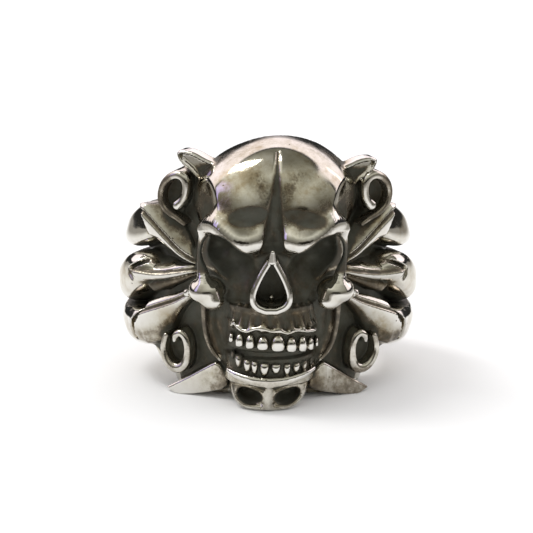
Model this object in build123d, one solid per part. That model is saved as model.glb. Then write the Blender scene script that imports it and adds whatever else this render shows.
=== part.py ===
from build123d import *
import heapq
import os
import numpy as np

# Skull ring, one casting. Millimetres, the bore upright along Z, the face towards -Y.
# The origin is on the axis of the finger hole, half way up the back of the band.
# FLOOR_Z is the level the ring stands on. The cells are the spacing of the grid that the surface is
# drawn on, and TRIANGLES is the number of flat faces it is laid out in.
FACE_CELL = 0.40
SIDE_CELL = 0.55
BACK_CELL = 1.0
TRIANGLES = 12400
BORE_RADIUS = 10.0
FLOOR_Z = -10.2
CRANIUM_HALF_WIDTH = 8.4
CRANIUM_DEPTH = 7.4
CRANIUM_RISE = 6.2
CRANIUM_SQUARENESS = 2.9
FOREHEAD_SLOPE = 0.0235
BROW_RADIUS = 1.25
FURROW_RADIUS = 0.8
NOSE_RIM = 0.45
GUM_RADIUS = 0.2
TOOTH_THICKNESS = 0.78
CHIN_Z = -6.82
CHIN_RADIUS = 0.32
RAMUS_RADIUS = 0.26
ARCH_HALF = 5.0
ARCH_DEPTH = 4.1
ARCH_BACK = -14.1
PLATE_TURN = 24.4
SCROLL_LIFT = 0.45
HORN_LIFT = 0.75
TIP_RIM = 0.35
TIP_RISE = 0.04
GAP_RADIUS = 0.42
GAP_PLACE = 0.5
GAP_DEPTH = 1.5
LEAF_LINE = 0.2
LEAF_GROOVE = 0.38
LOBE_LEAN = 0.30
PLATE_X = 7.5
PLATE_Y = -11.0
BED_DROP = 1.15
# Width of one degree of turn on the leaves
DEGREE = 0.27

# How far the head leans to the right: height, shift
LEAN = (
    (-10.2, -0.1),
    (-6.0, 0.2),
    (0.0, 0.3),
    (5.0, 0.4),
    (8.3, 0.55),
    (12.0, 0.8),
    (17.0, 1.05),
)

# Masses of the head, which are the forehead, the temple, the jaw and the cheek in two:
# x, y, z, half width, half depth, half height
EGGS = (
    (2.7, -13.4, 10.0, 3.3, 4.85, 5.0),
    (0.0, -10.4, 5.0, 7.9, 5.4, 6.8),
    (0.0, -11.5, 0.0, 6.4, 4.2, 10.5),
    (6.7, -14.6, 2.1, 1.9, 2.0, 1.44),
    (6.0, -15.5, 1.2, 1.15, 1.05, 0.95),
)

# Eye hollow, its inner and its outer half: x, y, z, half width, half depth, half height
EYES = (
    (4.1, -18.4, 5.0, 2.5, 5.184, 2.4),
    (5.55, -17.6, 6.3, 2.15, 5.4, 2.4),
)

# Eye hollow of the small skull, in the same two halves: x, y, z, half width, half depth, half height
SMALL_EYES = (
    (1.9, -17.8, -8.72, 1.25, 2.9, 0.86),
    (2.5, -17.2, -8.5, 0.85, 2.6, 0.72),
)

# Stretch that the scrolls, horns, nose, jaws and small skull each fill:
# x either way from, to, y from, to, z from, to
REACH = (
    (6.0, 14.5, -17.0, -2.0, -10.0, 15.5),
    (3.0, 12.5, -17.0, -4.0, -11.5, 16.5),
    (-1.0, 4.0, -20.0, -11.0, -1.5, 9.5),
    (-1.0, 8.8, -20.5, -8.0, -10.5, 3.0),
    (-1.0, 6.0, -20.0, -8.0, -12.0, -4.5),
)

# Brow ridge from the middle outwards: x, y, z, share of BROW_RADIUS
BROW = (
    (2.1, -18.0, 8.1, 0.80),
    (3.3, -18.3, 8.0, 1.00),
    (4.6, -17.7, 8.9, 0.88),
    (5.7, -16.9, 9.7, 0.72),
    (6.7, -15.8, 9.5, 0.60),
    (7.1, -14.9, 9.0, 0.50),
)

# Hollows over the brows: x, z, half length, half height, slant, depth
HOLLOWS = (
    (-2.75, 10.45, 1.75, 0.90, 0.10, 0.25),
    (3.1, 10.25, 2.3, 0.85, -0.22, 0.18),
)

# Furrow down the middle of the forehead: x, y, z, share of FURROW_RADIUS
FURROW = (
    (0.0, -14.6, 16.8, 0.10),
    (0.0, -15.6, 16.1, 0.16),
    (0.0, -16.5, 15.0, 0.25),
    (0.0, -17.35, 12.9, 0.43),
    (0.0, -17.75, 10.9, 0.80),
    (0.0, -17.95, 9.0, 1.10),
    (0.0, -17.6, 7.4, 1.65),
)

# Outer rim of the eye socket: x, y, z, radius
ORBIT = (
    (7.05, -15.1, 8.8, 0.58),
    (7.35, -14.6, 6.6, 0.40),
    (7.2, -14.8, 4.4, 0.50),
    (6.9, -15.3, 2.9, 0.85),
)

# Outer corner of the cheekbone: x, y, z, radius
CHEEK_EDGE = (
    (6.9, -14.6, 1.9, 1.00),
    (8.7, -13.3, 1.45, 0.42),
)

# Nose opening, one half: half width, height
NOSE = (
    (0.5, 1.15),
    (1.35, 1.5),
    (1.6, 2.2),
    (1.42, 3.0),
    (0.9, 4.2),
    (0.35, 5.2),
    (0.06, 5.7),
)

# Upper teeth from left to right: x, half width, heights of the crown's top and of the edge
UPPER = (
    (-4.05, 0.26, -2.0, -3.0),
    (-3.17, 0.41, -1.95, -3.3),
    (-2.08, 0.44, -1.9, -3.38),
    (-0.78, 0.56, -2.0, -3.42),
    (0.76, 0.65, -1.88, -3.57),
    (2.14, 0.51, -2.2, -3.73),
    (3.28, 0.43, -2.25, -3.86),
    (4.15, 0.32, -2.6, -3.9),
    (4.8, 0.20, -2.9, -3.85),
)

# Lower teeth from left to right: x, half width, heights of the edge and of the root
LOWER = (
    (-3.85, 0.20, -4.0, -4.7),
    (-3.2, 0.36, -4.2, -5.55),
    (-2.32, 0.38, -4.5, -5.85),
    (-1.58, 0.33, -4.6, -6.0),
    (-0.56, 0.45, -4.75, -6.1),
    (0.62, 0.45, -4.85, -5.9),
    (1.75, 0.35, -4.9, -6.1),
    (2.68, 0.37, -4.9, -5.95),
    (3.5, 0.30, -4.85, -5.9),
    (4.2, 0.20, -4.8, -5.7),
)

# Gum line over the upper teeth: x, height
GUM_LINE = (
    (-3.8, -0.90),
    (-3.25, -1.37),
    (-2.5, -1.50),
    (-1.6, -1.15),
    (-0.8, -1.10),
    (0.0, -1.33),
    (1.05, -1.38),
    (1.75, -1.62),
    (2.7, -1.42),
    (3.8, -1.72),
    (4.6, -1.90),
)

# Sheet of the jaw's side and its outer edge: x, y, z, radius or share of RAMUS_RADIUS
JAW_SHEET = (
    (6.0, -11.9, 0.5, 1.0),
    (5.9, -11.9, -2.5, 1.0),
    (5.0, -12.4, -5.0, 1.0),
)
JAW_EDGE = (
    (7.0, -13.0, 0.6, 1.3),
    (6.95, -12.9, -1.5, 1.0),
    (6.7, -12.9, -3.3, 1.0),
    (6.1, -13.2, -4.8, 0.9),
    (5.2, -13.9, -5.6, 0.6),
)

# Rim of the small skull under the chin: x, y, z, radius
SMALL_RIM = (
    (3.55, -14.9, -7.6, 0.34),
    (3.55, -15.4, -8.6, 0.33),
    (3.1, -16.0, -9.35, 0.30),
    (2.2, -16.7, -9.8, 0.28),
    (0.6, -17.1, -9.85, 0.30),
)

# The band: angle from the face, top, bottom, wall
BAND = (
    (0, 14.6, -9.6, 2.3),
    (30, 14.4, -10.2, 2.3),
    (45, 13.2, -10.4, 2.4),
    (55, 10.5, -10.4, 2.4),
    (61, 9.0, -10.2, 2.5),
    (65, 8.3, -8.6, 2.5),
    (70, 7.6, -7.6, 2.6),
    (90, 6.4, -6.4, 2.6),
    (120, 5.4, -5.4, 2.3),
    (150, 4.6, -4.6, 1.85),
    (180, 4.5, -4.5, 1.8),
)

# Folded front leaves, top to bottom: angle, crease height, reach above, reach below, radius,
# slant above, slant below
FRONT = (
    (
        (31, 4.0, 0.4, 0.3, 12.8, 0.4, 0.3),
        (36, 4.3, 1.1, 0.4, 13.5, 0.5, 0.4),
        (41.4, 5.1, 2.2, 0.6, 14.1, 0.55, 0.4),
        (47.4, 6.6, 2.4, 1.15, 14.8, 0.6, 0.4),
        (52.9, 8.0, 1.7, 1.9, 15.4, 0.7, 0.4),
        (57, 9.0, 0.7, 2.7, 15.9, 0.8, 0.4),
    ),
    (
        (31, 3.4, 0.3, 0.3, 12.7, 0.5, 0.3),
        (36, 3.3, 0.4, 0.4, 13.4, 0.6, 0.4),
        (45, 2.85, 0.7, 0.7, 14.2, 1.2, 0.5),
        (52, 2.5, 1.3, 0.85, 15.0, 1.9, 0.6),
        (57, 2.45, 1.3, 1.0, 15.7, 2.4, 0.6),
        (61, 2.5, 0.8, 1.3, 16.3, 2.4, 0.5),
    ),
    (
        (31, 1.5, 0.3, 0.4, 12.7, 0.6, 0.3),
        (36, 1.0, 0.4, 0.7, 13.4, 0.8, 0.4),
        (45, -0.3, 0.7, 1.7, 14.2, 0.9, 0.5),
        (52, -1.1, 0.9, 3.6, 15.1, 0.9, 0.4),
        (58.5, -1.9, 0.7, 3.7, 16.0, 0.9, 0.3),
    ),
)

# Underside of the middle front leaf: angle, middle height, half height, radius
UNDER = (
    (31, 2.9, 0.15, 12.5),
    (36, 2.65, 0.25, 12.9),
    (45, 1.85, 0.45, 13.5),
    (52, 1.2, 0.60, 14.0),
    (61, 0.4, 0.85, 14.8),
)

# Where the front leaves end, bottom to top: height, angle
FRONT_END = (
    ((6.0, 57.0), (8.9, 58.2), (9.9, 62.0)),
    ((-0.4, 56.0), (1.0, 60.5), (2.4, 62.5), (3.4, 57.0)),
    ((-5.6, 65.5), (-3.5, 62.5), (-1.8, 58.0), (-1.2, 57.0)),
)

# Leaves running on round the finger: angle, middle height, half height, radius
SIDE = (
    (
        (53, 8.0, 1.1, 14.0),
        (60, 7.6, 2.3, 15.35),
        (68, 6.95, 2.5, 15.6),
        (83, 5.75, 2.25, 15.5),
        (95, 4.9, 2.0, 14.9),
        (110, 4.0, 1.7, 13.7),
        (125, 3.1, 1.4, 12.7),
        (140, 2.5, 1.1, 12.0),
    ),
    (
        (55, 2.5, 0.9, 14.4),
        (62, 2.1, 2.0, 15.6),
        (70, 1.4, 2.45, 15.75),
        (83, 0.0, 2.5, 15.65),
        (95, -0.1, 2.2, 15.1),
        (110, 0.0, 1.9, 13.9),
        (125, 0.0, 1.5, 12.9),
        (140, 0.0, 1.1, 12.1),
    ),
    (
        (53, -3.2, 0.9, 14.2),
        (60, -3.8, 1.9, 15.5),
        (70, -4.4, 2.2, 15.75),
        (83, -4.9, 2.25, 15.6),
        (95, -4.5, 2.0, 15.0),
        (110, -3.7, 1.7, 13.8),
        (125, -2.9, 1.4, 12.8),
        (140, -2.4, 1.1, 12.0),
    ),
)

# Scroll walls from the outer end inwards: x, z, half thickness
UPPER_SCROLL = (
    (9.4, 8.2, 0.22),
    (10.2, 8.75, 0.27),
    (11.1, 9.2, 0.30),
    (11.85, 9.95, 0.32),
    (12.1, 11.0, 0.32),
    (11.85, 12.2, 0.35),
    (11.15, 13.05, 0.42),
    (10.3, 13.4, 0.50),
    (9.65, 13.1, 0.52),
    (9.35, 12.4, 0.50),
    (9.4, 11.4, 0.46),
    (9.75, 10.6, 0.48),
    (10.15, 10.15, 0.58),
)
LOWER_SCROLL = (
    (11.05, -4.1, 0.30),
    (11.35, -5.3, 0.34),
    (11.05, -6.6, 0.42),
    (10.25, -7.45, 0.54),
    (9.35, -7.45, 0.58),
    (8.8, -6.65, 0.50),
    (8.7, -5.3, 0.42),
    (8.95, -4.1, 0.42),
    (9.5, -3.55, 0.44),
    (10.05, -3.95, 0.40),
    (10.15, -4.55, 0.22),
)

# Outline of a bottom horn and of a top leaf tip: x, z
HORN = (
    (10.95, -9.75),
    (8.8, -8.35),
    (6.6, -6.75),
    (5.6, -6.1),
    (4.4, -7.6),
    (4.4, -9.0),
    (7.1, -9.9),
    (9.7, -10.35),
)
TIP = (
    (6.0, 14.5),
    (6.6, 14.7),
    (7.6, 15.0),
    (8.6, 15.45),
    (9.6, 15.6),
    (10.25, 15.5),
    (10.55, 15.15),
    (10.4, 14.55),
    (10.05, 14.1),
    (9.5, 13.75),
    (9.0, 13.4),
    (8.3, 12.75),
    (7.2, 12.3),
    (6.0, 12.5),
)


def egg(p, row):
    """An egg along the axes: its middle, then its half width, half depth and half height"""
    q = [(p[i] - row[i]) / row[i + 3] for i in range(3)]
    near = np.sqrt(q[0] ** 2 + q[1] ** 2 + q[2] ** 2)
    slope = np.sqrt(sum((q[i] / row[i + 3]) ** 2 for i in range(3)))
    return near * (near - 1.0) / np.maximum(slope, 1e-6)


def block(q, size, power=3.2):
    """A block with well rounded corners about the origin"""
    k = sum(np.abs(q[i] / size[i]) ** power for i in range(3)) ** (1 / power)
    return (k - 1.0) * min(size)


def limb(p, a, b, ra, rb):
    """A straight limb with round ends, of radius ra at a and rb at b"""
    ab = [b[i] - a[i] for i in range(3)]
    t = sum((p[i] - a[i]) * ab[i] for i in range(3)) / sum(c * c for c in ab)
    t = np.clip(t, 0.0, 1.0)
    d = np.sqrt(sum((p[i] - a[i] - t * ab[i]) ** 2 for i in range(3)))
    return d - (ra + (rb - ra) * t)


def chain(p, rows, radius=1.0):
    """Limbs from row to row, each row an end point and its share of the radius"""
    out = None
    for a, b in zip(rows[:-1], rows[1:]):
        d = limb(p, a[:3], b[:3], a[3] * radius, b[3] * radius)
        out = d if out is None else np.minimum(out, d)
    return out


def rounded(rows, rounds=2):
    """The same line with its corners cut again and again, so that it runs smoothly"""
    for _ in range(rounds):
        line = [rows[0]]
        for a, b in zip(rows[:-1], rows[1:]):
            line.append(tuple(0.75 * i + 0.25 * j for i, j in zip(a, b)))
            line.append(tuple(0.25 * i + 0.75 * j for i, j in zip(a, b)))
        rows = line + [rows[-1]]
    return rows


def join(a, b, k):
    """Both together, the corner between them filled over the width k"""
    h = np.maximum(k - np.abs(a - b), 0.0) / k
    return np.minimum(a, b) - h * h * k * 0.25


def cut(a, b, k):
    """The first without the second, the edge softened over the width k"""
    return -join(-a, b, k)


def meet(a, b, k):
    """What both share, the edge softened over the width k"""
    return -join(-a, -b, k)


def ease(t):
    t = np.clip(t, 0.0, 1.0)
    return t * t * (3 - 2 * t)


def spline(t, rows, column):
    """A smooth run through one column of a table, against its first column"""
    ts = np.array([row[0] for row in rows], float)
    vs = np.array([row[column] for row in rows], float)
    m = np.gradient(vs, ts)
    t = np.clip(t, ts[0], ts[-1])
    i = np.clip(np.searchsorted(ts, t) - 1, 0, len(ts) - 2)
    h = ts[i + 1] - ts[i]
    s = (t - ts[i]) / h
    return ((1 + 2 * s) * (1 - s) ** 2 * vs[i] + s * (1 - s) ** 2 * h * m[i]
            + s * s * (3 - 2 * s) * vs[i + 1] + s * s * (s - 1) * h * m[i + 1])


def outline(u, v, corners):
    """Distance to a closed outline, below zero inside it"""
    d = np.full(np.shape(u), 1e9)
    sign = np.ones(np.shape(u))
    for n in range(len(corners)):
        x0, y0 = corners[n]
        x1, y1 = corners[n - 1]
        ex, ey = x1 - x0, y1 - y0
        wx, wy = u - x0, v - y0
        t = np.clip((wx * ex + wy * ey) / (ex * ex + ey * ey), 0, 1)
        d = np.minimum(d, (wx - ex * t) ** 2 + (wy - ey * t) ** 2)
        over, under, left = v >= y0, v < y1, ex * wy > ey * wx
        sign = np.where((over & under & left) | (~over & ~under & ~left), -sign, sign)
    return sign * np.sqrt(d)


def leaned(p):
    x, y, z = p
    shift = np.interp(z, [row[0] for row in LEAN], [row[1] for row in LEAN])
    return x - shift, y, z


def mirrored(p):
    return np.abs(p[0]), p[1], p[2]


def eye_hollow(q):
    return join(egg(q, EYES[0]), egg(q, EYES[1]), 0.8)


def cranium(q):
    """The dome of the skull, its face flatter and its rim rounder than a ball's"""
    x, y, z = q
    t = np.clip((z - 11.3) / CRANIUM_RISE, 0, 1)
    ring = np.hypot(x * (1 + 0.20 * t * t) / CRANIUM_HALF_WIDTH, (z - 11.3) / CRANIUM_RISE)
    power = CRANIUM_SQUARENESS
    depth = CRANIUM_DEPTH * (1 - FOREHEAD_SLOPE * np.clip(z - 9.0, 0, 8.5))
    near = (ring ** power + np.abs((y + 10.6) / depth) ** power) ** (1 / power)
    return (near - 1) * 0.9 * CRANIUM_RISE


def dimple(x, z, row):
    """A shallow hollow in the forehead, one at its middle: x, z, half length, half height, slant"""
    at, height, length, tall, slant = row[:5]
    u, v = x - at, z - height - slant * (x - at)
    return np.exp(-(u / length) ** 2 - (v / tall) ** 2)


def skull(p):
    q = mirrored(p)
    x, y, z = q
    s = cranium(q)
    s = join(s, egg(q, EGGS[0]), 0.9)
    # flat temples
    s = join(s, egg(q, EGGS[1]), 1.0)
    s = meet(s, 0.93 * x - 0.37 * y - 11.75 - 1.6 * ease((9.4 - z) / 1.6), 0.2)
    s = join(s, egg(q, EGGS[2]), 0.8)
    # brows, the hollows over them and the furrow between them
    s = join(s, chain(q, rounded(BROW), BROW_RADIUS), 1.4)
    for row in HOLLOWS:
        s = s + row[5] * dimple(p[0], z, row) * ease((-13.0 - y) / 2.0)
    s = join(s, limb(q, (0, -14.4, 4.5), (0, -14.6, -0.4), 2.2, 2.9), 1.0)
    s = cut(s, chain(q, FURROW, FURROW_RADIUS), 0.35)
    s = join(s, chain(q, rounded(ORBIT)), 0.5)
    soft = ease((5.6 - z) / 2.0) * ease((5.4 - x) / 1.5)
    s = cut(s, eye_hollow(q), 0.25 + 1.3 * soft)
    cheek = join(egg(q, EGGS[3]), egg(q, EGGS[4]), 0.5)
    return join(s, join(cheek, chain(q, CHEEK_EDGE), 0.5), 0.4)


def nose_hole(x, z):
    """Distance to the outline of the nose opening, below zero inside it"""
    half = rounded(NOSE)
    return outline(x, z, half + [(-wide, height) for wide, height in reversed(half)])


def nose(p, s):
    x, y, z = p
    d = nose_hole(x, z)
    wide = 0.36 + 0.10 * ease((2.5 - z) / 2.0)
    rim = np.sqrt(((d - 0.30) * 0.42 / wide) ** 2 + (y + 17.85 - 0.05 * (z - 3)) ** 2) - NOSE_RIM
    rim = np.minimum(rim, limb(p, (0, -18.1, 6.1), (0, -18.25, 7.1), 0.42, 0.24))
    wall = np.maximum(d - 0.55, np.maximum(-18.0 - y, y + 13.0))
    s = join(join(s, wall, 0.35), rim, 0.15)
    s = cut(s, np.maximum(d + 0.02, y + 15.2), 0.15)
    return join(s, limb(p, (0, -16.2, 1.3), (0, -17.2, 2.1), 0.4, 0.2), 0.2)


def arch_y(x, half, depth):
    """How far forward the row of teeth stands at x"""
    return ARCH_BACK - depth * np.sqrt(np.maximum(1 - (x / half) ** 2, 0.02))


def from_arch(x, y, grow):
    """Distance from the outline of the row of teeth, grown by so much"""
    half, depth = ARCH_HALF + grow, ARCH_DEPTH + grow
    return (np.sqrt((x / half) ** 2 + ((y - ARCH_BACK) / depth) ** 2) - 1) * depth


def chin_line(x):
    return CHIN_Z + 0.8 * (x / 4.4) ** 2


def jaws(p, s):
    x, y, z = p
    q = mirrored(p)
    gum_line = spline(x, GUM_LINE, 1)
    mouth = 0.5 * ease((z + 4.6) / 0.3) * ease((-3.6 - z) / 0.3) + 0.1 * ease((z - gum_line) / 0.2)
    body = np.maximum(from_arch(x, y, -0.45) + mouth, np.maximum(z - 0.8, -7.4 - z))
    s = join(s, np.maximum(body, y + 9.5), 0.5)
    # roots over the upper teeth
    for at, half, _, _ in UPPER:
        low = (at * 0.99, arch_y(at * 0.97, ARCH_HALF, ARCH_DEPTH) + 0.45, -1.2)
        high = (at * 0.80, arch_y(at * 0.9, ARCH_HALF, ARCH_DEPTH) + 1.1, 1.0)
        s = join(s, limb(p, low, high, half * 0.75, half * 0.35), 0.45)
    # wavy gum line
    gum = np.sqrt(np.maximum(from_arch(x, y, -0.18), -0.6) ** 2 + (z - gum_line) ** 2) - GUM_RADIUS
    gum = np.maximum(gum, np.maximum(-4.0 - x, x - 4.75))
    s = join(s, np.maximum(gum, y + 13.0), 0.25)
    for at, half, top, edge in UPPER:
        middle, tall = (top + edge) / 2, (top - edge) / 2 + 0.1
        front = arch_y(at, ARCH_HALF, ARCH_DEPTH) + 0.35
        taper = 1 - 0.18 * np.clip((z - middle) / tall, -1, 1)
        tooth = block(((x - at) / taper, y - front, z - middle), (half * 1.12, TOOTH_THICKNESS, tall), 2.5)
        s = join(s, meet(tooth, edge + 0.08 - z, 0.12), 0.08)
    for at, half, top, root in LOWER:
        middle, tall = (top + root) / 2, (top - root) / 2 + 0.08
        front = arch_y(at, ARCH_HALF - 0.4, ARCH_DEPTH - 0.15) + 0.35
        taper = 1 + 0.30 * np.clip((z - middle) / tall, -1, 1)
        size = (half * 1.1, 0.95 * TOOTH_THICKNESS, tall)
        tooth = block(((x - at) / taper, y - front, z - middle), size, 2.5)
        s = join(s, meet(tooth, z - top, 0.12), 0.08)
    # crescent of the chin and the jaw under it
    bow = chin_line(x)
    half = 0.12 * np.clip(1 - (x / 4.6) ** 2, 0, 1)
    off = np.maximum(np.abs(from_arch(x, y, -0.05)) - 0.1, 0)
    share = CHIN_RADIUS * (1 - 0.35 * np.clip((x / 4.6) ** 2, 0, 1))
    band = np.sqrt(off ** 2 + np.maximum(np.abs(z - bow) * 0.85 - half, 0) ** 2) - share
    s = join(s, np.maximum(np.maximum(band, y + 13.5), np.abs(x - 0.1) - 4.6), 0.15)
    under = np.maximum(from_arch(x, y, -1.0), np.maximum(z - bow, -8.6 - z))
    s = join(s, under, 0.3)
    s = join(s, chain(q, JAW_SHEET), 0.4)
    return join(s, chain(q, rounded(JAW_EDGE), RAMUS_RADIUS), 0.25)


def small_hollow(q):
    return join(egg(q, SMALL_EYES[0]), egg(q, SMALL_EYES[1]), 0.3)


def small_skull(p, s):
    p = (p[0] - 0.05, p[1], p[2])
    q = mirrored(p)
    bone = join(egg(q, (0.0, -13.8, -8.3, 4.0, 3.9, 2.2)), chain(q, rounded(SMALL_RIM)), 0.3)
    s = join(s, bone, 0.3)
    s = cut(s, small_hollow(q), 0.2)
    return join(s, limb(p, (0, -17.9, -7.2), (0, -17.2, -9.6), 0.42, 0.5), 0.35)


def polar(p):
    """Distance from the bore's axis, angle from the face, height"""
    x, y, z = p
    return np.sqrt(x * x + y * y), np.degrees(np.arctan2(np.abs(x), -y)), z


def band(p):
    r, angle, z = polar(p)
    top, bottom, wall = [spline(angle, BAND, k) for k in (1, 2, 3)]
    outer = BORE_RADIUS + wall - 1.3 * ease((angle - 47) / 9) * ease((-8.2 - z) / 1.2)
    return meet(r - outer, np.maximum(z - top, bottom - z) * 0.85, 0.5)


def leaf_part(angle, z, rows, end):
    """Height over the crease, reach above and below it, radius at the crease, radius of the face,
    steepest slant and distance past the leaf's end"""
    crease, above, below, radius, over, under = [spline(angle, rows, k) for k in range(1, 7)]
    dz = z - crease
    up, down = np.clip(dz, 0, above), np.clip(-dz / below, 0, 1)
    face = radius - over * up - under * below * down ** 1.8 - LEAF_GROOVE * np.exp(-(dz / LEAF_LINE) ** 2)
    return dz, above, below, radius, face, over, (angle - spline(z, end, 1)) * DEGREE


def leaves(p, s):
    r, angle, z = polar(p)
    for rows in SIDE:
        middle, half, radius = [spline(angle, rows, k) for k in (1, 2, 3)]
        t = np.abs(z - middle) / half
        lean = LOBE_LEAN * np.maximum(np.abs(z) - 3.2, 0) * ease((120 - angle) / 30)
        face = radius + 0.35 - lean - 0.30 * t ** 3.2 * (radius - 11.5)
        d = meet((r - face) * 0.8, (np.abs(z - middle) - half) * 0.85, 0.55)
        s = join(s, np.maximum(d, (rows[0][0] - angle) * 0.23), 0.35)
    for rows, end in zip(FRONT, FRONT_END):
        dz, above, below, radius, face, slant, along = leaf_part(angle, z, rows, end)
        low = below
        slope = np.sqrt(1 + np.where(dz > -0.1, slant, 0.4) ** 2)
        leaf = meet(np.maximum(dz - above, -dz - below) * 0.85, (r - face) / slope, 0.15)
        if rows is FRONT[1]:
            middle, half, reach = [spline(angle, UNDER, k) for k in (1, 2, 3)]
            t = np.abs(z - middle) / half
            leaf = np.minimum(leaf, meet((r - reach + 0.3 * t * t) * 0.8, (t - 1) * half * 0.85, 0.2))
            low = z - middle + half - dz
        gap = np.hypot(along - GAP_PLACE, np.maximum(radius - GAP_DEPTH - r, 0)) - GAP_RADIUS
        s = cut(s, np.maximum(gap, np.maximum(dz - above, -dz - low) - 0.1), 0.1)
        leaf = meet(leaf, along, 0.25)
        s = join(s, np.maximum(leaf, (rows[0][0] - angle) * 0.22), 0.12)
    return s


def plate(p):
    """Place along the slanted front plate, and height over it"""
    turn = np.radians(PLATE_TURN)
    x, y = np.abs(p[0]) - PLATE_X, p[1] - PLATE_Y
    return x * np.cos(turn) + y * np.sin(turn), x * np.sin(turn) - y * np.cos(turn)


def on_plate(x, lift):
    """Where along the plate a point at x lies that stands so far off it"""
    turn = np.radians(PLATE_TURN)
    return (x - PLATE_X) / np.cos(turn) - lift * np.sin(turn)


def scrolls(p, s):
    u, w = plate(p)
    z = p[2]
    for table in (UPPER_SCROLL, LOWER_SCROLL):
        rows = rounded(table)
        pts = [(on_plate(x, 0.8), height) for x, height, _ in rows]
        bed = outline(u, z, [(on_plate(x, 0.8), height) for x, height, _ in table[1:10]]) - 0.1
        bed = meet(bed, np.maximum(w - SCROLL_LIFT + BED_DROP, -4.0 - w), 0.3)
        s = join(s, bed, 0.3)
        wall = None
        for n in range(len(rows) - 1):
            (u0, z0), (u1, z1) = pts[n], pts[n + 1]
            du, dz = u1 - u0, z1 - z0
            t = np.clip(((u - u0) * du + (z - z0) * dz) / (du * du + dz * dz), 0, 1)
            off = (u - u0 - t * du) ** 2 + (z - z0 - t * dz) ** 2
            over = np.maximum(w - SCROLL_LIFT, 0)
            d = np.sqrt(off + over ** 2) - (rows[n][2] + (rows[n + 1][2] - rows[n][2]) * t)
            wall = d if wall is None else np.minimum(wall, d)
        s = join(s, np.maximum(wall, -3.0 - w), 0.15)
    return s


def horns_and_tips(p, s):
    u, w = plate(p)
    z = p[2]
    face = HORN_LIFT - 0.06 * np.maximum(u - 1.0, 0) ** 2
    flat = outline(u, z, [(on_plate(x, 1.0), height) for x, height in rounded(HORN, 1)])
    s = join(s, meet(flat, np.maximum(w - face, -3.4 - w), 0.3), 0.25)
    flat = outline(u, z + TIP_RISE * p[0], [(on_plate(x, 0.3), height) for x, height in rounded(TIP, 1)])
    dish = TIP_RIM - (TIP_RIM + 0.25) * ease((-flat - 0.2) / 0.4)
    return join(s, meet(flat, np.maximum(w - dish, -1.5 - w), 0.45), 0.2)


def within(p, s, reach, form):
    """Lays a form into the field in its own stretch alone: least and most of x either way, y and z"""
    x, y, z = p
    side = np.abs(x)
    x0, x1, y0, y1, z0, z1 = reach
    at = (side > x0) & (side < x1) & (y > y0) & (y < y1) & (z > z0) & (z < z1)
    out = s.copy()
    out[at] = form((x[at], y[at], z[at]), s[at])
    return out


def sculpture(x, y, z):
    """Below zero inside the casting, the finger hole not yet cut"""
    p = (x, y, z)
    lp = leaned(p)
    s = leaves(p, band(p))
    s = within(lp, s, REACH[0], scrolls)
    s = within(lp, s, REACH[1], horns_and_tips)
    head = within(lp, skull(lp), REACH[2], nose)
    head = within(lp, head, REACH[3], jaws)
    head = within(lp, head, REACH[4], small_skull)
    return np.maximum(join(s, head, 0.3), FLOOR_Z - z)


def stations(stops):
    """Grid lines from one stop to the next, each stretch with its own cell"""
    out = []
    for (a, cell), (b, _) in zip(stops[:-1], stops[1:]):
        n = max(1, int(round((b - a) / cell)))
        out += list(a + (b - a) * np.arange(n) / n)
    return np.array(out + [stops[-1][0]])


# Depth that a filled grid point is set to, step the slope is taken over, height over the floor within
# which a point lies flat on it, share of a cell that a point may settle by
FILL = 0.02
SLOPE_STEP = 0.03
FLOOR_BAND = 0.12
SETTLE_SHARE = 0.35
GRID_TOP = 18.6
BORE_MIDDLE = 4.0
BORE_CUT = 60.0

# Corners of a cell of the grid, and the pairs of them that share an edge
CORNERS = [(a, b, c) for a in (0, 1) for b in (0, 1) for c in (0, 1)]
EDGES = [(m, n) for m in range(8) for n in range(m + 1, 8)
         if sum(abs(CORNERS[m][e] - CORNERS[n][e]) for e in range(3)) == 1]


def one_piece(members):
    """True when the corners given hang together along cell edges"""
    members = set(members)
    if not members:
        return True
    todo = [next(iter(members))]
    seen = set(todo)
    while todo:
        m = todo.pop()
        for a, b in EDGES:
            other = b if a == m else a if b == m else None
            if other in members and other not in seen:
                seen.add(other)
                todo.append(other)
    return len(seen) == len(members)


SPLIT = np.array([not (one_piece([m for m in range(8) if code >> m & 1])
                       and one_piece([m for m in range(8) if not code >> m & 1])) for code in range(256)])


def close_pinches(values):
    """Fills single grid points until every cell holds one sheet of surface"""
    nx, ny, nz = values.shape
    for _ in range(40):
        code = np.zeros((nx - 1, ny - 1, nz - 1), int)
        for m, (a, b, c) in enumerate(CORNERS):
            code += (values[a:nx - 1 + a, b:ny - 1 + b, c:nz - 1 + c] < 0).astype(int) << m
        bad = np.argwhere(SPLIT[code])
        if not len(bad):
            return values
        for i, j, k in bad:
            best = None
            for a, b, c in CORNERS:
                v = values[i + a, j + b, k + c]
                if v >= 0 and (best is None or v < best[0]):
                    best = (v, i + a, j + b, k + c)
            if best:
                values[best[1:]] = -FILL
    return values


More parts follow.
